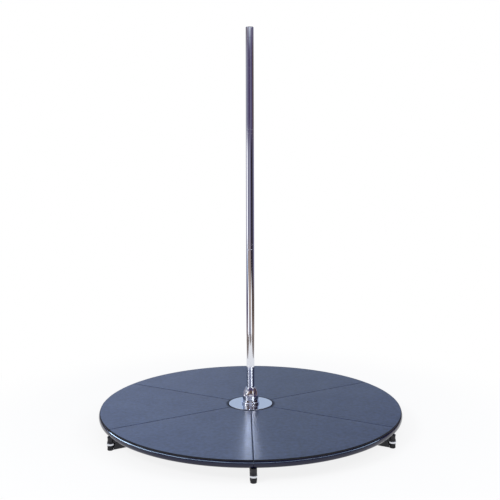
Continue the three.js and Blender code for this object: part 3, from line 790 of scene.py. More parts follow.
def board_shell():
    """Two sheets over one slice, drawn about +X, and the wall that joins their borders."""
    low, high = box("stage_board_1")
    hole, rim, under, top = BOARD_HOLE, STAGE_RADIUS - BOARD_INSET, low[2], high[2]
    radius = graded(hole, rim, BOARD_ROWS)[:, None]
    half = SECTOR / 2 - numpy.arcsin(SEAM_HALF / radius)
    inner_half = SECTOR / 2 - numpy.arcsin((SEAM_HALF + SEAM_REACH) / radius)
    edge = SECTOR / 2 - numpy.arcsin((SEAM_HALF + SEAM_OFFSETS) / radius)
    across = inner_half * numpy.linspace(-1, 1, BOARD_COLUMNS)
    angle = numpy.concatenate([-edge, across, edge[:, ::-1]], axis=1)
    from_seam = radius * numpy.sin(half - numpy.abs(angle))
    from_end = numpy.minimum(radius - hole, rim - radius)
    distance = numpy.minimum(from_seam, from_end)
    swell = BOARD_SWELL * (1 - smooth(distance / SWELL_REACH))
    disc_radius = upright("trim_disc")[0]
    bed = DISC_BED * (1 - smooth((radius - disc_radius - BED_MARGIN) / BED_EDGE))
    drop = numpy.maximum(roll(distance, BOARD_ROLL) + swell, bed)
    lift = roll(distance, UNDER_ROUND)
    return polar(radius, angle, top - drop), polar(radius, angle, under + lift)


def sewn(upper, lower):
    """Points and faces of two sheets of one size, joined by a wall round their borders."""
    rows, columns, _ = upper.shape
    grid = numpy.arange(rows * columns).reshape(rows, columns)
    corners = [grid[:-1, :-1], grid[:-1, 1:], grid[1:, 1:], grid[1:, :-1]]
    quads = numpy.stack(corners, axis=-1).reshape(-1, 4)
    sides = [grid[0, :-1], grid[:-1, -1], grid[-1, :0:-1], grid[:0:-1, 0]]
    border = numpy.concatenate(sides)
    ahead = numpy.roll(border, -1)
    size = rows * columns
    wall = numpy.stack([border, ahead, ahead + size, border + size], axis=-1)
    faces = numpy.concatenate([quads, quads + size, wall])
    return numpy.concatenate([upper.reshape(-1, 3), lower.reshape(-1, 3)]), faces.tolist()


board = build("padded_board", sewn(*board_shell()))
seat_six(board, "stage_board", 0)
print("a board has", len(board.polygons), "faces")

# %% [markdown]
# ## Edge trim
# The trim is a hollow section with a bull nose, a ledge that the board rests on and a thin
# lip beside it. Its section is two loops, the skin and the chamber, with matching points. The
# chamber has no lip, so its last points wait in one place while the skin goes round the lip.
# The skin sweeps one way round the sector and the chamber sweeps back, so the two loops and
# both cut ends close as a single sheet.

# %% Edge trim
NOSE_DEPTH = 12
TRIM_HEIGHT = 38
TRIM_WALL = 3
LIP_TOP = 107.8
LEDGE_TOP = 93.7
LEDGE_END = 900
LIP_INNER = 923.3
HEEL_LENGTH = 12
TRIM_STEPS, NOSE_ROWS = 64, 25
nose_low = box("rim_trim_1")[0][2]
nose_middle = nose_low + TRIM_HEIGHT / 2
nose_centre = STAGE_RADIUS - NOSE_DEPTH
nose_start = math.asin((LIP_TOP - nose_middle) / (TRIM_HEIGHT / 2))


def nose(angle, wall):
    """Ellipse of the bull nose, drawn in by a wall: r = c + (depth - wall) cos a,
    h = m + (half height - wall) sin a."""
    across = nose_centre + (NOSE_DEPTH - wall) * numpy.cos(angle)
    upward = nose_middle + (TRIM_HEIGHT / 2 - wall) * numpy.sin(angle)
    return numpy.stack([across, upward], axis=1)


def trim_loops():
    """Skin and chamber of the trim's section, point for point."""
    angle = numpy.linspace(nose_start, -math.pi / 2, NOSE_ROWS)
    ceiling = LEDGE_TOP - TRIM_WALL
    chamber_start = math.asin((ceiling - nose_middle) / (TRIM_HEIGHT / 2 - TRIM_WALL))
    chamber = nose(numpy.minimum(angle, chamber_start), TRIM_WALL)
    heel = rounded(
        [
            [LEDGE_END + HEEL_LENGTH, nose_low], [LEDGE_END, nose_low], [LEDGE_END, LEDGE_TOP],
            [LIP_INNER, LEDGE_TOP], [LIP_INNER, LIP_TOP],
        ],
        [0, 4, 0.8, 0.5, 0],
    )
    inner_heel = rounded(
        [
            [LEDGE_END + HEEL_LENGTH, nose_low + TRIM_WALL],
            [LEDGE_END + TRIM_WALL, nose_low + TRIM_WALL], [LEDGE_END + TRIM_WALL, ceiling],
            chamber[0],
        ],
        [0, 1.5, 0.5, 0],
    )
    waiting = numpy.repeat(chamber[:1], len(heel) - len(inner_heel), axis=0)
    skin = numpy.concatenate([nose(angle, 0), heel])
    return skin, numpy.concatenate([chamber, inner_heel, waiting])


def swept(loop, angle):
    """A loop of [radius, height] points carried round Z, one row to each angle."""
    radius, height = loop.T
    return polar(radius, angle[:, None], height)


skin, chamber = trim_loops()
half = SECTOR / 2 - math.asin(SEAM_HALF / STAGE_RADIUS)
sweep = numpy.linspace(-half, half, TRIM_STEPS)
trim_points = numpy.concatenate([swept(skin, sweep), swept(chamber, sweep[::-1])])
trim = build("edge_trim", shell(trim_points, rows_closed=True))
trim_pieces = bpy.data.collections.new("trim_pieces")
for piece in seat_six(trim, "rim_trim", 0):
    trim_pieces.objects.link(piece)
print("trim section has", len(skin), "points")

# %% [markdown]
# ## Arms
# An arm is a welded steel box beam. Its end is sawn at a slant and fish-mouthed to clear the
# foot, and a turned post with a collar is welded into the end. Booleans suit it well, because
# the real arm was also cut and joined. It is drawn once, along X, and turned to each leg.

# %% Arms
ARM_WALL = 3
ARM_EDGE = 1.6
SAWN_ANGLE = math.radians(50)  # edges sharper than this are broken
FOOT_AXIS = 915
GROUND = 4
ARM_START = 78.3
ARM_NOSE, ARM_HEEL = FOOT_AXIS - 10, FOOT_AXIS - 22
ARM_HALF = 18
UNDER_TRIM = LEDGE_END - 2
COLLAR_LOW, COLLAR_HIGH, POST_TOP = 38, 47, 73.7
COLLAR_RADIUS, POST_RADIUS, POST_HEAD, HEAD_DEPTH = 18, 16, 17.5, 5
FISH_MOUTH, STEM_HOLE = 21, 8.6
CUT_LOW, CUT_HIGH = -1, 100  # clear of the arm below and above
POST_STEPS = 72
BOLT_AT, BOLT_LEVEL, BOLT_RADIUS = 115.5, 48.85, 5


def plank(name, outline, half):
    """A solid with a side view of [x, z] points and its width shared about the XZ plane."""
    x, z = numpy.array(outline, float).T
    rows = [numpy.stack([x, 0 * x + y, z], axis=-1) for y in (-half, half)]
    return build(name, shell(numpy.stack(rows), capped=True))


def post(name, corners, radius):
    """A turned solid that stands where the foot is. Its outline starts on the axis."""
    points = turned(rounded(corners, radius), steps=POST_STEPS)
    return build(name, shell(points + [FOOT_AXIS, 0, 0]))


def foot_hole(name, radius, low, high):
    """A plain solid that cuts a round hole where the foot is."""
    return post(name, [[0, low], [radius, low], [radius, high], [0, high]], 0)


beam = plank(
    "arm_beam",
    [
        [ARM_START, GROUND], [ARM_NOSE, GROUND], [ARM_HEEL, COLLAR_LOW], [ARM_HEEL, COLLAR_HIGH],
        [ARM_NOSE, COLLAR_HIGH], [ARM_NOSE, POST_TOP], [UNDER_TRIM, POST_TOP],
        [UNDER_TRIM, LEDGE_TOP], [ARM_START, LEDGE_TOP],
    ],
    ARM_HALF,
)
hollow = plank(
    "arm_hollow",
    [
        [ARM_START - ARM_WALL, GROUND + ARM_WALL], [ARM_NOSE - 2 * ARM_WALL, GROUND + ARM_WALL],
        [ARM_HEEL - ARM_WALL, COLLAR_HIGH], [ARM_HEEL - ARM_WALL, LEDGE_TOP - ARM_WALL],
        [ARM_START - ARM_WALL, LEDGE_TOP - ARM_WALL],
    ],
    ARM_HALF - ARM_WALL,
)
mouth = foot_hole("mouth", FISH_MOUTH, CUT_LOW, COLLAR_LOW)
stem_hole = foot_hole("stem_hole", STEM_HOLE, CUT_LOW, CUT_HIGH)
arm_post = post(
    "arm_post",
    [
        [0, COLLAR_LOW], [COLLAR_RADIUS, COLLAR_LOW], [COLLAR_RADIUS, COLLAR_HIGH],
        [POST_RADIUS, COLLAR_HIGH], [POST_RADIUS, POST_TOP - HEAD_DEPTH],
        [POST_HEAD, POST_TOP - HEAD_DEPTH], [POST_HEAD, POST_TOP], [0, POST_TOP],
    ],
    [0, 0.8, 0.8, 0.4, 0.4, 0.6, 0.8, 0],
)
bolt_hole = drill(along_y, BOLT_RADIUS + JACK_FIT, 0, 2 * ARM_HALF, BOLT_LEVEL)
bolt_hole.transform(Matrix.Translation((BOLT_AT * MM, 0, 0)))
arm = carved(beam, "DIFFERENCE", hollow, mouth)
arm = carved(arm, "UNION", arm_post)
arm = carved(arm, "DIFFERENCE", stem_hole, bolt_hole)
for piece in seat_six(arm, "arm"):
    edge = piece.modifiers.new("saw_edges", "BEVEL")
    edge.width = ARM_EDGE * MM
    edge.segments = 2
    edge.angle_limit = SAWN_ANGLE
    piece.modifiers.move(1, 0)
print("arm reaches", FOOT_AXIS, "mm")

# %% [markdown]
# ## Arm bolts
# Each arm is held on the hub's spigot by one hexagon bolt. Its head bears on the arm's side,
# and its thread takes hold in the far wall of the spigot.

# %% Arm bolts
BOLT_TIP = -(ARM_HALF - ARM_WALL - JACK_FIT)
HEAD_AT = ARM_HALF + JACK_FIT
HEAD_HEIGHT, HEAD_CORNER, PLAIN_SHANK = 6.4, 9.8, 8
BOLT_THREAD = {"pitch": 1.5, "depth": 0.6, "steps": SCREW_STEPS}
bolt = along_y(
    turned(
        (0, BOLT_TIP),
        (BOLT_RADIUS - 1, BOLT_TIP),
        thread(BOLT_RADIUS, BOLT_TIP + 1, HEAD_AT - PLAIN_SHANK, **BOLT_THREAD),
        (BOLT_RADIUS, HEAD_AT),
        *hexagon_head(HEAD_CORNER, HEAD_AT, HEAD_AT + HEAD_HEIGHT, SCREW_STEPS),
        (0, HEAD_AT + HEAD_HEIGHT),
        steps=SCREW_STEPS,
    )
)
bolt_mesh = build("arm_bolt_steel", shell(bolt + [BOLT_AT, 0, BOLT_LEVEL]))
seat_six(bolt_mesh, "arm_bolt")

# %% [markdown]
# ## Levelling stems
# The foot screws up and down on a two-millimetre thread. The bright ring on the stem is what
# a hand turns, so its face is knurled: a wave of sixty teeth round the ring. The ridge is a
# formula of the angle, and it dies away at the ring's two chamfers.

# %% Levelling stems
RING_LOW, RING_HIGH, RING_RADIUS = 27.3, 37.7, 19.5
STEM_RADIUS, PIVOT_RADIUS = 8, 6
STEM_TOP, PIVOT_FOOT = 71.7, 13.3
KNURLS, KNURL_DEPTH = 60, 0.45
RING_STEPS = 360
STEM_THREAD = {"pitch": 2, "depth": 0.8, "steps": SCREW_STEPS}
around = numpy.arange(RING_STEPS) * 2 * math.pi / RING_STEPS
tooth = KNURL_DEPTH * (1 - numpy.cos(KNURLS * around)) / 2
knurled = RING_RADIUS - tooth
ring = turned(
    (STEM_RADIUS - 0.8, RING_LOW),
    (RING_RADIUS - 1.2, RING_LOW),
    (knurled, RING_LOW + 1),
    (knurled, RING_HIGH - 1),
    (RING_RADIUS - 1.2, RING_HIGH),
    (STEM_RADIUS - 0.8, RING_HIGH),
    steps=RING_STEPS,
)
stem = turned(
    (0, PIVOT_FOOT),
    (PIVOT_RADIUS - 1, PIVOT_FOOT),
    (PIVOT_RADIUS, PIVOT_FOOT + 1),
    (PIVOT_RADIUS, RING_LOW + 2),
    (STEM_RADIUS - 0.6, RING_LOW + 2),
    thread(STEM_RADIUS, RING_HIGH - 2, STEM_TOP - 1, **STEM_THREAD),
    (STEM_RADIUS - 1, STEM_TOP),
    (0, STEM_TOP),
    steps=SCREW_STEPS,
)
foot_centre = [FOOT_AXIS, 0, 0]
ring_shell = shell(ring + foot_centre, rows_closed=True)
stem_mesh = build("levelling_screw", ring_shell, shell(stem + foot_centre))
seat_six(stem_mesh, "levelling_stem")
print("ring has", KNURLS, "teeth")

# %% [markdown]
# ## Foot pads
# A moulded foot grips the floor and carries the screw's pivot in a pocket. Twelve ribs run
# down its side so that it can be held still while the ring turns. The rib is a flattened
# cosine, which gives flat crests and narrow grooves, as a mould does.

# %% Foot pads
PAD_RADIUS, PAD_HEIGHT = 16.5, 27
PAD_RIBS, RIB_DEPTH = 12, 1.3
PAD_STEPS = 144
RIB_CONTRAST, RIB_SHIFT = 1.6, 0.2  # how sharply and how early a rib's flank falls
POCKET_WALL, POCKET_GAP = PIVOT_RADIUS + 0.5, 0.3
around = numpy.arange(PAD_STEPS) * 2 * math.pi / PAD_STEPS
groove = numpy.clip(-RIB_CONTRAST * numpy.cos(PAD_RIBS * around) - RIB_SHIFT, 0, 1)
near_foot, near_head = [0.0, 0.5, 1.5, 3, 6], [6, 3, 1, 0]
height = numpy.concatenate([near_foot, PAD_HEIGHT - numpy.array(near_head)])
fade = smooth(numpy.minimum(height - 2, PAD_HEIGHT - 2 - height) / 3)[:, None]
shrink = numpy.array([1.2, 0.5, 0, 0, 0, 0, 0, 0.4, 1.6])[:, None]
side = PAD_RADIUS - shrink - RIB_DEPTH * groove * fade
pad = turned(
    (0, 0),
    (side, height[:, None]),
    (PIVOT_RADIUS + 1, PAD_HEIGHT),
    (POCKET_WALL, PAD_HEIGHT - 0.6),
    (POCKET_WALL, PIVOT_FOOT - POCKET_GAP),
    (0, PIVOT_FOOT - POCKET_GAP),
    steps=PAD_STEPS,
)
pad_mesh = build("rubber_foot", shell(pad + foot_centre))
seat_six(pad_mesh, "foot_pad")

# %% [markdown]
# ## Hub
# The hub is a six-sided block, bored for two bearings, with a hollow spigot welded to each
# flat. The block's outside is a hexagon and its bore a circle, and both are rings of one
# turned surface. Each spigot is a rounded box section, skin out and chamber back. It starts a
# little way inside the block, where the weld has run in.

# %% Hub
HUB_FLAT = 78
BEARING_SEAT = 45.3
HUB_LAND = 41.8
LOWER_BEARING = box("lower_bearing_outer_ring")
UPPER_BEARING = box("upper_bearing_outer_ring")
SPIGOT_LENGTH = 75
SPIGOT_WALL = 5
SPIGOT_HALF = ARM_HALF - ARM_WALL - JACK_FIT
SPIGOT_LOW = GROUND + ARM_WALL + JACK_FIT
SPIGOT_HIGH = LEDGE_TOP - ARM_WALL - JACK_FIT
WELD_DEPTH = 2
HUB_EDGE, SEAT_EDGE = 1.2, 0.6
land_low = LOWER_BEARING[1][2] + JACK_FIT
land_high = UPPER_BEARING[0][2] - JACK_FIT
face = hexagon(HUB_FLAT)
block = turned(
    (BEARING_SEAT + 1, GROUND),
    (face - HUB_EDGE, GROUND),
    (face, GROUND + HUB_EDGE),
    (face, LEDGE_TOP - HUB_EDGE),
    (face - HUB_EDGE, LEDGE_TOP),
    (BEARING_SEAT + SEAT_EDGE, LEDGE_TOP),
    (BEARING_SEAT, LEDGE_TOP - SEAT_EDGE),
    (BEARING_SEAT, land_high),
    (HUB_LAND, land_high),
    (HUB_LAND, land_low),
    (BEARING_SEAT, land_low),
    (BEARING_SEAT, GROUND + 1),
)
block = block @ numpy.array(Matrix.Rotation(-SECTOR / 2, 3, "Z"))


def box_loop(wall, radius):
    """The spigot's rounded box section, drawn in by a wall, as [y, z] points."""
    half, low, high = SPIGOT_HALF - wall, SPIGOT_LOW + wall, SPIGOT_HIGH - wall
    return rounded([[-half, low], [half, low], [half, high], [-half, high]], radius, steps=5)


def extruded(loops_at):
    """Loops of [y, z] points, each at its own x, as rows of points."""
    rows = [numpy.column_stack([numpy.full(len(loop), x), loop]) for x, loop in loops_at]
    return numpy.stack(rows)


outer_loop = box_loop(0, 3)
inner_loop = box_loop(SPIGOT_WALL, 1.5)
root, end = HUB_FLAT - WELD_DEPTH, HUB_FLAT + SPIGOT_LENGTH
spigot = extruded([(root, outer_loop), (end, outer_loop), (end, inner_loop), (root, inner_loop)])
spigot_mesh = build("spigot", shell(spigot, rows_closed=True))
hub_mesh = build("hub_steel", shell(block, rows_closed=True))
hub_mesh = carved(hub_mesh, "UNION", *six(spigot_mesh))
cross_hole = drill(along_y, BOLT_RADIUS + JACK_FIT, -2 * ARM_HALF, 2 * ARM_HALF, BOLT_LEVEL)
cross_hole.transform(Matrix.Translation((BOLT_AT * MM, 0, 0)))
hub_mesh = carved(hub_mesh, "DIFFERENCE", *six(cross_hole))
seat(hub_mesh, "hub")
print("hub", len(hub_mesh.polygons), "faces")

# %% [markdown]
# ## Bearings
# Each bearing is two ground rings with a groove for the balls, and a pressed cage that keeps
# the balls apart. The groove is part of a circle a little larger than the ball, so the rings
# are one turned outline each.

# %% Bearing rings and cages
BALLS, BALL_RADIUS = 8, 6
GROOVE_SHARE = 0.93  # sine of the angle at which the groove ends
GROOVE_SCALE = 1.06  # groove's radius over the ball's
GROOVE_ROWS, BALL_ROWS, BALL_STEPS = 15, 17, 32
RACE_WALL = 6.5
SHAFT_RADIUS = 25
CAGE_WALL, CAGE_HEIGHT = 3, 8


def race(wall, lip, low, high, centre):
    """Outline of a ring: plain face at one radius, and the other face hollowed by an arc
    about the balls' centres."""
    middle = (low + high) / 2
    mouth = math.asin(GROOVE_SHARE)
    outwards = math.copysign(1, lip - centre)
    reach = BALL_RADIUS * GROOVE_SCALE
    angle = numpy.linspace(-mouth, mouth, GROOVE_ROWS)
    across = centre + outwards * reach * numpy.cos(angle)
    arc = numpy.stack([across, middle + reach * numpy.sin(angle)], axis=1)
    start = [[wall, high], [wall, low], [lip, low], [lip, arc[0][1]]]
    end = [[lip, arc[-1][1]], [lip, high]]
    return numpy.concatenate([start, arc, end])


def caged(centre, middle):
    """A pressed cage with its balls, which run in a circle of a radius at a level."""
    sides = ((-1, -1), (1, -1), (1, 1), (-1, 1))
    half, rise = CAGE_WALL / 2, CAGE_HEIGHT / 2
    corners = [[centre + x * half, middle + z * rise] for x, z in sides]
    cage = build("cage", shell(turned(rounded(corners, 0.4)), rows_closed=True))
    tilt = numpy.linspace(-math.pi / 2, math.pi / 2, BALL_ROWS)
    arc = numpy.stack([BALL_RADIUS * numpy.cos(tilt), BALL_RADIUS * numpy.sin(tilt)], axis=1)
    ball = turned(arc, steps=BALL_STEPS)
    spots = polar(centre, numpy.arange(BALLS) * 2 * math.pi / BALLS, middle)
    return carved(cage, "UNION", build("balls", *[shell(ball + spot) for spot in spots]))


for place_name in ("lower", "upper"):
    outer, low, high = upright(f"{place_name}_bearing_outer_ring")
    centre = (outer + SHAFT_RADIUS) / 2
    for ring_name, wall, lip in (
        ("outer", outer, outer - RACE_WALL),
        ("inner", SHAFT_RADIUS, SHAFT_RADIUS + RACE_WALL),
    ):
        ring = shell(turned(race(wall, lip, low, high, centre)), rows_closed=True)
        ring_mesh = build(f"{place_name}_{ring_name}_race", ring)
        seat(ring_mesh, f"{place_name}_bearing_{ring_name}_ring")
    seat(caged(centre, (low + high) / 2), f"{place_name}_bearing_ball_cage")
print("balls run at radius", round(centre, 1))

# %% [markdown]
# ## Spindle and nut
# The spindle carries the pole: a spigot inside the tube, a collar that the tube stands on and
# that the spin locks grip, a shoulder on the upper bearing, the journal, and the thread for
# the nut underneath. All of it is turned, so it is one outline with the thread's rings added.

# %% Spindle and nut
_, spindle_low, spindle_high = upright("spindle")
THREAD_RADIUS, JOURNAL, SHOULDER, COLLAR = 20, 24.7, 31, 33
SHOULDER_HEIGHT = 10
NUT_CORNER = 33
cap_low = box("bearing_cap")[0][2]
shoulder_top = cap_low + SHOULDER_HEIGHT
seat_top = POLE_FOOT - JACK_FIT
spigot_radius = POLE_RADIUS - TUBE_WALL - JACK_FIT
lower_journal = LOWER_BEARING[0][2]
body = rounded(
    [
        [THREAD_RADIUS - 0.5, lower_journal], [JOURNAL, lower_journal], [JOURNAL, cap_low],
        [SHOULDER, cap_low], [SHOULDER, shoulder_top], [COLLAR, shoulder_top],
        [COLLAR, seat_top], [spigot_radius, seat_top], [spigot_radius, spindle_high],
        [0, spindle_high],
    ],
    [0, 0.6, 0.3, 0.4, 0.4, 0.8, 0.8, 0.4, 2, 0],
)
spindle = turned(
    (0, spindle_low),
    (THREAD_RADIUS - 1.5, spindle_low),
    thread(THREAD_RADIUS, spindle_low + 1.5, lower_journal, pitch=2, depth=0.8),
    body,
)
seat(build("spindle_steel", shell(spindle)), "spindle")
_, nut_low, nut_high = upright("spindle_nut")
nut_flat = NUT_CORNER * math.cos(SECTOR / 2)
circle = CHAMFER_SHARE * nut_flat
nut_face = hexagon(nut_flat)
nut_bore = THREAD_RADIUS + JACK_FIT
nut = turned(
    (nut_bore, nut_low + 1),
    (nut_bore + 1, nut_low),
    (circle, nut_low),
    (nut_face, nut_low + (nut_face - circle) * CHAMFER_SLOPE),
    (nut_face, nut_high),
    (nut_bore, nut_high),
)
seat(build("spindle_nut_steel", shell(nut, rows_closed=True)), "spindle_nut")

# %% [markdown]
# ## Bearing cap
# The cap holds the upper bearing down and carries the neck with the two lock holes. The holes
# are cut exactly, as a drill would. Its six bolts are a piece of their own, because their
# black finish differs from the cap's bright one, and they come in the next cell.

# %% Bearing cap
FLANGE_THICKNESS = 8
NECK_RADIUS, NECK_BORE = 46, 36
DRILL_REACH = 90.0
flange, low, high = upright("bearing_cap")
flange_top = low + FLANGE_THICKNESS
cap = lathe(
    "bearing_cap_steel",
    [
        [NECK_BORE, low], [flange, low], [flange, flange_top], [NECK_RADIUS, flange_top],
        [NECK_RADIUS, high], [NECK_BORE, high],
    ],
    [0.5, 0.8, 1.2, 1.5, 1.5, 0.8],
)
lock_low, lock_high = box("spin_lock_right")
lock_level = (lock_low[2] + lock_high[2]) / 2
lock_radius = (lock_high[1] - lock_low[1]) / 2 + JACK_FIT
lock_holes = drill(along_x, lock_radius, -DRILL_REACH, DRILL_REACH, lock_level)
seat(carved(cap, "DIFFERENCE", lock_holes), "bearing_cap")
print("cap", round(2 * flange), "mm across")

# %% [markdown]
# ## Cap bolts
# Six hexagon heads stand in a circle on the cap's flange. They replace no CAD node of their
# own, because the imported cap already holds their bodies. They only ride with the cap.

# %% Cap bolts
CAP_BOLT_CIRCLE, CAP_BOLT_CORNER, CAP_BOLT_HEIGHT = 64, 7.5, 5
CAP_BOLT_GAP = 0.05  # keeps the heads' undersides clear of the flange
head_low, head_high = flange_top + CAP_BOLT_GAP, flange_top + CAP_BOLT_HEIGHT
head = turned(
    (0, head_low),
    *hexagon_head(CAP_BOLT_CORNER, head_low, head_high, SCREW_STEPS),
    (0, head_high),
    steps=SCREW_STEPS,
)
spots = polar(CAP_BOLT_CIRCLE, numpy.arange(LEGS) * SECTOR, 0)
bolts_mesh = build("cap_bolts_steel", *[shell(head + spot) for spot in spots])
bolts_mesh.materials.append(finishes["black_oxide"])
cap_bolts = bpy.data.objects.new("fine_cap_bolts", bolts_mesh)
scene.collection.objects.link(cap_bolts)
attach(cap_bolts, body_of["bearing_cap"])
print("cap bolts", len(spots))

# %% [markdown]
# ## Camera
# The picture was taken level, at about eye height, with the frame moved down to take in the
# stage. A level camera keeps the pole upright, so the frame is moved with the lens shift and
# not by tilting. A roll of 0.15 degrees repeats the slight lean of the pole's top.

# %% Camera
FRAME_WIDTH = 500
FOCAL_PIXELS = 723
HORIZON_ROW = 182
CAMERA_DISTANCE, CAMERA_HEIGHT = 4.518, 1.498
CAMERA_TURN = math.radians(-0.86)
CAMERA_ROLL = math.radians(0.15)
camera_data = bpy.data.cameras.new("camera")
camera_data.sensor_width = 36
camera_data.lens = FOCAL_PIXELS / FRAME_WIDTH * camera_data.sensor_width
camera_data.shift_y = (HORIZON_ROW - FRAME_WIDTH / 2) / FRAME_WIDTH
camera = bpy.data.objects.new("camera", camera_data)
scene.collection.objects.link(camera)
camera.location = (
    CAMERA_DISTANCE * math.sin(CAMERA_TURN),
    -CAMERA_DISTANCE * math.cos(CAMERA_TURN),
    CAMERA_HEIGHT,
)
camera.rotation_euler = (math.pi / 2, CAMERA_ROLL, CAMERA_TURN)
scene.camera = camera
scene.view_settings.view_transform = "Standard"
print("lens", round(camera_data.lens, 1), "mm, shift", round(camera_data.shift_y, 3))

# %% [markdown]
# ## The room in the chrome
# A mirror shows only what stands round it, so the chrome needs a room. Real studios place
# white screens and black flags round a shiny object. Here the world does that for reflections
# alone: a stack of storeys, each from a slope of the line of sight upwards, and each a row of
# bands round the compass. Nought degrees is the camera's side and the angles grow to its
# right. The windows are the bright bands that draw the lines along the pole.

# %% Tones and storeys
TONES = {  # an sRGB colour and how many times as bright it is
    "flood": (0xF0F5FF, 20.0),
    "beam": (0xF0F5FF, 12.0),
    "lamp": (0xDCE4FF, 4.4),
    "window": (0xFFFFFF, 1.5),
    "glow": (0xC1D6FF, 1.36),
    "sky": (0xC0D0E8, 1.0),
    "tin": (0xBACAE2, 1.0),
    "mist": (0xA6B4D6, 1.0),
    "haze": (0x94A2BC, 1.0),
    "plaster": (0xA4A4B0, 1.0),
    "warm": (0xB09C90, 1.0),
    "violet": (0x7C7893, 1.0),
    "dusk": (0x54496A, 1.0),
    "umber": (0x64544C, 1.0),
    "dark": (0x2C242C, 1.0),
}
STOREYS = [  # the slope at which a storey starts, and the angle at which each band starts
    (-9.0, {-180: "sky", -150: "warm", -76: "window", -42: "haze", 18: "window", 44: "warm",
            150: "sky"}),
    (-0.2, {-180: "violet", -120: "dusk", -70: "window", -42: "warm", 18: "window", 40: "umber",
            150: "haze"}),
    (-0.14, {-180: "violet", -110: "sky", -66: "warm", 14: "dark", 84: "violet", 150: "haze"}),
    (-0.09, {-180: "violet", -112: "window", -72: "violet", -38: "plaster", -6: "violet",
             24: "dark", 84: "violet"}),
    (0.06, {-180: "plaster", -82: "violet", -44: "dusk", 14: "violet", 40: "dusk", 80: "umber",
            150: "haze"}),
    (0.2, {-180: "plaster", -124: "umber", -76: "violet", -44: "plaster", -14: "sky",
           16: "violet", 150: "haze"}),
    (0.225, {-180: "glow", -150: "plaster", -72: "window", -50: "plaster", -28: "window",
             46: "dark", 120: "mist", 163: "sky"}),
    (0.262, {-180: "tin", -175: "glow", -150: "haze", -78: "window", -60: "umber",
             -20: "plaster", 16: "umber", 36: "plaster", 54: "dark", 120: "mist", 166: "sky",
             176: "tin"}),
    (0.34, {-180: "glow", -150: "haze", -100: "window", -82: "violet", -63: "window",
            -49: "umber", -28: "violet", 35: "window", 45: "dusk", 120: "mist", 172: "sky"}),
    (0.42, {-180: "glow", -150: "haze", -100: "plaster", -60: "window", -44: "warm",
            -20: "umber", 35: "window", 47: "warm", 62: "umber", 120: "mist", 172: "sky"}),
    (0.62, {-180: "sky", -60: "violet", -20: "umber", 30: "violet", 140: "haze"}),
    (0.8, {-180: "haze", -112: "window", -50: "dusk", 56: "window", 104: "haze"}),
    (1.6, {-180: "haze"}),
]
print(len(TONES), "tones in", len(STOREYS), "storeys")

# %% [markdown]
# ## Building the room
# A world shader knows only the direction of a ray. Its angle round the compass picks the
# place on a colour ramp, and its slope, which is height over level distance, picks the ramp.
# Each storey's ramp is laid over the one below it, with a short blur between them.

# %% Storeys of the world
BAND_BLUR = 2.0  # degrees on each side of a band's edge
STOREY_BLUR = 0.02  # slope on each side of a storey's foot
world = bpy.data.worlds.new("studio")
scene.world = world
world.use_nodes = True
tree = world.node_tree
tree.nodes.clear()
part, reach = from_axis(tree, output(tree, "TexCoord", socket="Generated"))
front = output(tree, "Math", {0: part["Y"], 1: -1.0}, operation="MULTIPLY")
azimuth = output(tree, "Math", {0: part["X"], 1: front}, operation="ARCTAN2")
limits = {"Value": azimuth, "From Min": -math.pi, "From Max": math.pi}
compass = output(tree, "MapRange", limits)
slope = output(tree, "Math", {0: part["Z"], 1: reach}, operation="DIVIDE")


def storey(bands):
    """A ramp round the compass that holds each band's tone and changes over a short blur."""
    node = add(tree, "ValToRGB", {"Fac": compass})
    elements = node.color_ramp.elements
    while len(elements) < 2 * len(bands):
        elements.new(1)
    edges = sorted(bands) + [180]
    for index, (start, end) in enumerate(zip(edges, edges[1:])):
        code, power = TONES[bands[start]]
        tone = [channel * power for channel in linear(code)[:3]] + [1.0]
        for element, edge in ((2 * index, start + BAND_BLUR), (2 * index + 1, end - BAND_BLUR)):
            elements[element].position = (edge + 180) / 360
            elements[element].color = tone
    return node.outputs["Color"]


def above(lower, upper, level):
    """One storey's colour below a slope, and the next one's above it."""
    rise = {"Value": slope, "From Min": level - STOREY_BLUR, "From Max": level + STOREY_BLUR}
    share = output(tree, "MapRange", rise)
    return output(tree, "Mix", {0: share, 6: lower, 7: upper}, data_type="RGBA", socket=2)


room = storey(STOREYS[0][1])
for level, bands in STOREYS[1:]:
    room = above(room, storey(bands), level)
print("the room takes", len(tree.nodes), "nodes")

# %% [markdown]
# ## Lamps for the second mirror
# The pole's foot mirrors the boards, and lamps low in the room that the boards mirror make
# white lines in the foot. Mirrored only once, such lamps would burn out the rest of the
# chrome. So a low ring of them is shown only to light mirrored twice. Light scattered by a
# dull surface comes from an even grey, which is soft, and the camera sees plain white.

# %% Ring of lamps and what each ray sees
LAMP_RING = {-180: "haze", -74: "beam", -48: "lamp", 20: "flood", 50: "dark", 120: "haze"}
LAMP_SLOPE, LAMP_HALF = 0.15, 0.1  # the middle and half height of the ring of lamps
ONCE_MIRRORED = 1.5  # more mirrors than this is two or more
path = add(tree, "LightPath").outputs
twice = {0: path["Glossy Depth"], 1: ONCE_MIRRORED}
twice = output(tree, "Math", twice, operation="GREATER_THAN")
low_ring = {0: slope, 1: LAMP_SLOPE, 2: LAMP_HALF}
low_ring = output(tree, "Math", low_ring, operation="COMPARE")
lamp_share = output(tree, "Math", {0: twice, 1: low_ring}, operation="MULTIPLY")
room = {0: lamp_share, 6: room, 7: storey(LAMP_RING)}
room = output(tree, "Mix", room, data_type="RGBA", socket=2)
mirrored = output(tree, "Background", {"Color": room})
plain = output(tree, "Background", {"Color": linear(0xFFFFFF)})
soft = output(tree, "Background", {"Color": linear(0xC8CCD4)})
lit = output(tree, "MixShader", {0: path["Is Glossy Ray"], 1: soft, 2: mirrored})
clear = {0: path["Is Camera Ray"], 1: path["Is Transmission Ray"]}
clear = output(tree, "Math", clear, operation="MAXIMUM")
seen = output(tree, "MixShader", {0: clear, 1: lit, 2: plain})
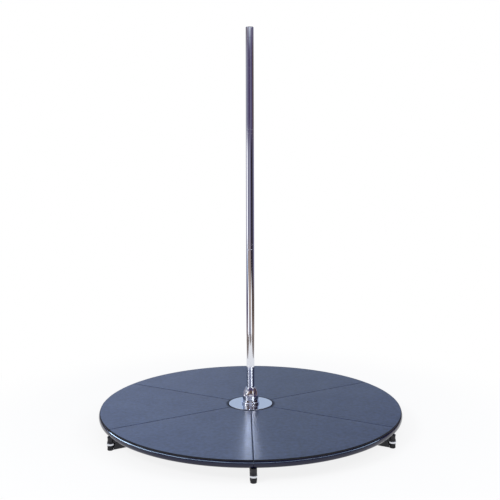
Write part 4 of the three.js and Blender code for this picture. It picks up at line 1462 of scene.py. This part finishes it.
add(tree, "OutputWorld", {"Surface": seen})
print("ring of lamps:", len(LAMP_RING), "bands")

# %% [markdown]
# ## Floor
# The floor is a plain pale disc, turned like the rest, from an outline of two points.

# %% Floor disc
FLOOR_RADIUS = 2.6
floor_points = turned(numpy.array([[0, 0], [FLOOR_RADIUS / MM, 0]]))
floor_mesh = build("floor", shell(floor_points))
floor = bpy.data.objects.new("floor", floor_mesh)
scene.collection.objects.link(floor)
floor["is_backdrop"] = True
print("floor", 2 * FLOOR_RADIUS, "m across")

# %% [markdown]
# ## Paper on the floor
# Near the stage the floor takes the stage's soft shadow, and further out it fades to the
# white of the backdrop, so no horizon line crosses the picture. A mirror also sees the
# studio's bare floor beyond the paper, on both sides and in front, as a warm grey.

# %% Pale paper
FADE_START, FADE_END, FADE_NEAR = 1.15, 2.2, 0.85
PAPER_HALF, PAPER_FRONT = 1.65, -2.2  # where the paper ends beside the stage and in front
PAPER, BARE_FLOOR = 0xF3F3F5, 0x857770
floor_paper = bpy.data.materials.new("pale_paper_floor")
floor_paper.use_nodes = True
floor_mesh.materials.append(floor_paper)
tree = floor_paper.node_tree
tree.nodes.clear()
across, away = from_axis(tree, output(tree, "TexCoord", socket="Object"))
fade = {"Value": away, "From Min": FADE_START, "From Max": FADE_END, "To Min": FADE_NEAR}
fade = output(tree, "MapRange", fade, interpolation_type="SMOOTHSTEP")
path = add(tree, "LightPath").outputs
shown = {0: path["Is Camera Ray"], 1: path["Is Glossy Ray"]}
shown = output(tree, "Math", shown, operation="MAXIMUM")
glow_share = output(tree, "Math", {0: fade, 1: shown}, operation="MULTIPLY")
side = output(tree, "Math", {0: across["X"]}, operation="ABSOLUTE")
side = output(tree, "Math", {0: side, 1: PAPER_HALF}, operation="GREATER_THAN")
near = {0: across["Y"], 1: PAPER_FRONT}
near = output(tree, "Math", near, operation="LESS_THAN")
bare = output(tree, "Math", {0: side, 1: near}, operation="MAXIMUM")
bare = {0: bare, 1: path["Is Glossy Ray"]}
bare = output(tree, "Math", bare, operation="MULTIPLY")
shade = {0: bare, 6: linear(0xFFFFFF), 7: linear(BARE_FLOOR)}
shade = output(tree, "Mix", shade, data_type="RGBA", socket=2)
paper = output(tree, "BsdfDiffuse", {"Color": linear(PAPER)})
glow = output(tree, "Emission", {"Color": shade, "Strength": 1.0})
cover = output(tree, "MixShader", {0: glow_share, 1: paper, 2: glow})
add(tree, "OutputMaterial", {"Surface": cover})
print("fades to white from", FADE_START, "to", FADE_END, "m")

# %% [markdown]
# ## Key and fill
# Two large soft lamps light the stage: a key high on the left front and a weaker fill from
# the right. Their strength is set so that a surface shows about the colour that it is
# written with. Mirrors don't see them, because the room in the world is drawn for mirrors.

# %% Key and fill lamps
def area_lamp(name, size, power, place, facing):
    """A rectangular area lamp of a width and height, at a place and facing a direction."""
    data = bpy.data.lights.new(name, "AREA")
    data.shape = "RECTANGLE"
    data.size, data.size_y = size
    data.energy = power
    lamp = bpy.data.objects.new(name, data)
    scene.collection.objects.link(lamp)
    lamp.location = place
    lamp.rotation_euler = facing.to_track_quat("-Z", "Y").to_euler()
    return lamp


def softbox(name, size, power, place):
    """A lamp aimed at the middle of the stage, which no mirror sees."""
    lamp = area_lamp(name, size, power, place, -Vector(place))
    lamp.visible_glossy = False
    return lamp


key = softbox("key", (2.2, 1.2), 120, (-3.2, -3.4, 3.6))
fill = softbox("fill", (2.4, 1.6), 50, (3.6, -1.5, 3.2))
print("key and fill", key.data.energy, fill.data.energy, "W")

# %% [markdown]
# ## Streaks on the boards
# Two soft streaks run over the boards from the pole's foot towards the camera. They are the
# film's mirror image of light on the pole. A narrow strip lamp just in front of the pole
# draws each, seen by glossy surfaces alone and facing outwards, away from the chrome.

# %% Strip lamps beside the pole
GLINT_RADIUS = (POLE_RADIUS + 3) * MM
GLINT_WIDTH = 0.006
GLINT_FOOT, GLINT_TOP = 0.222, 0.8


def mirrored_only(lamp, code):
    """Tints a lamp and hides it from every ray but the glossy ones."""
    lamp.data.color = linear(code)[:3]
    lamp.visible_camera = False
    lamp.visible_diffuse = False
    lamp.visible_glossy = True


def glint(name, bearing, power):
    """A strip lamp that stands just clear of the pole and faces outwards."""
    outwards = Vector((math.sin(bearing), -math.cos(bearing), 0))
    place = outwards * GLINT_RADIUS + Vector((0, 0, (GLINT_FOOT + GLINT_TOP) / 2))
    size = (GLINT_WIDTH, GLINT_TOP - GLINT_FOOT)
    mirrored_only(area_lamp(name, size, power, place, outwards), 0xCFDFFF)


glint("left_glint", math.radians(-18), 0.36)
glint("right_glint", math.radians(20), 0.03)
print("strips", round(GLINT_TOP - GLINT_FOOT, 3), "m long")

# %% [markdown]
# ## Line along the trim
# The glossy nose of the trim carries one long highlight round the whole front. A rail of long
# lamps draws it. Light linking shows the rail to the trim alone, so nothing else changes when
# a length of it is made brighter or moved up.

# %% Rail of lamps for the trim
RAIL_REACH = 2.75
RAIL_SIZE = (1.2, 0.3)
RAIL = (  # bearing from the front in degrees, height and power of each length
    (-92, 0.33, 30),
    (-74, 0.5, 27),
    (-50, 0.66, 21),
    (-25, 0.75, 16),
    (0, 0.7, 10),
    (25, 0.66, 7),
    (50, 0.6, 9),
    (74, 0.4, 12),
)
for degrees, height, power in RAIL:
    bearing = math.radians(degrees)
    place = (RAIL_REACH * math.sin(bearing), -RAIL_REACH * math.cos(bearing), height)
    rail = softbox("rail", RAIL_SIZE, power, place)
    mirrored_only(rail, 0xC4E2FF)
    rail.light_linking.receiver_collection = trim_pieces
print("rail of", len(RAIL), "lamps")

# %% Print the CAD and visual sizes
sizes = {
    "cad": [list(corner) for corner in cad_bounds],
    "visual": [list(corner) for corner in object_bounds()],
}
for label, corners in sizes.items():
    print(label, [[round(value, 4) for value in corner] for corner in corners])
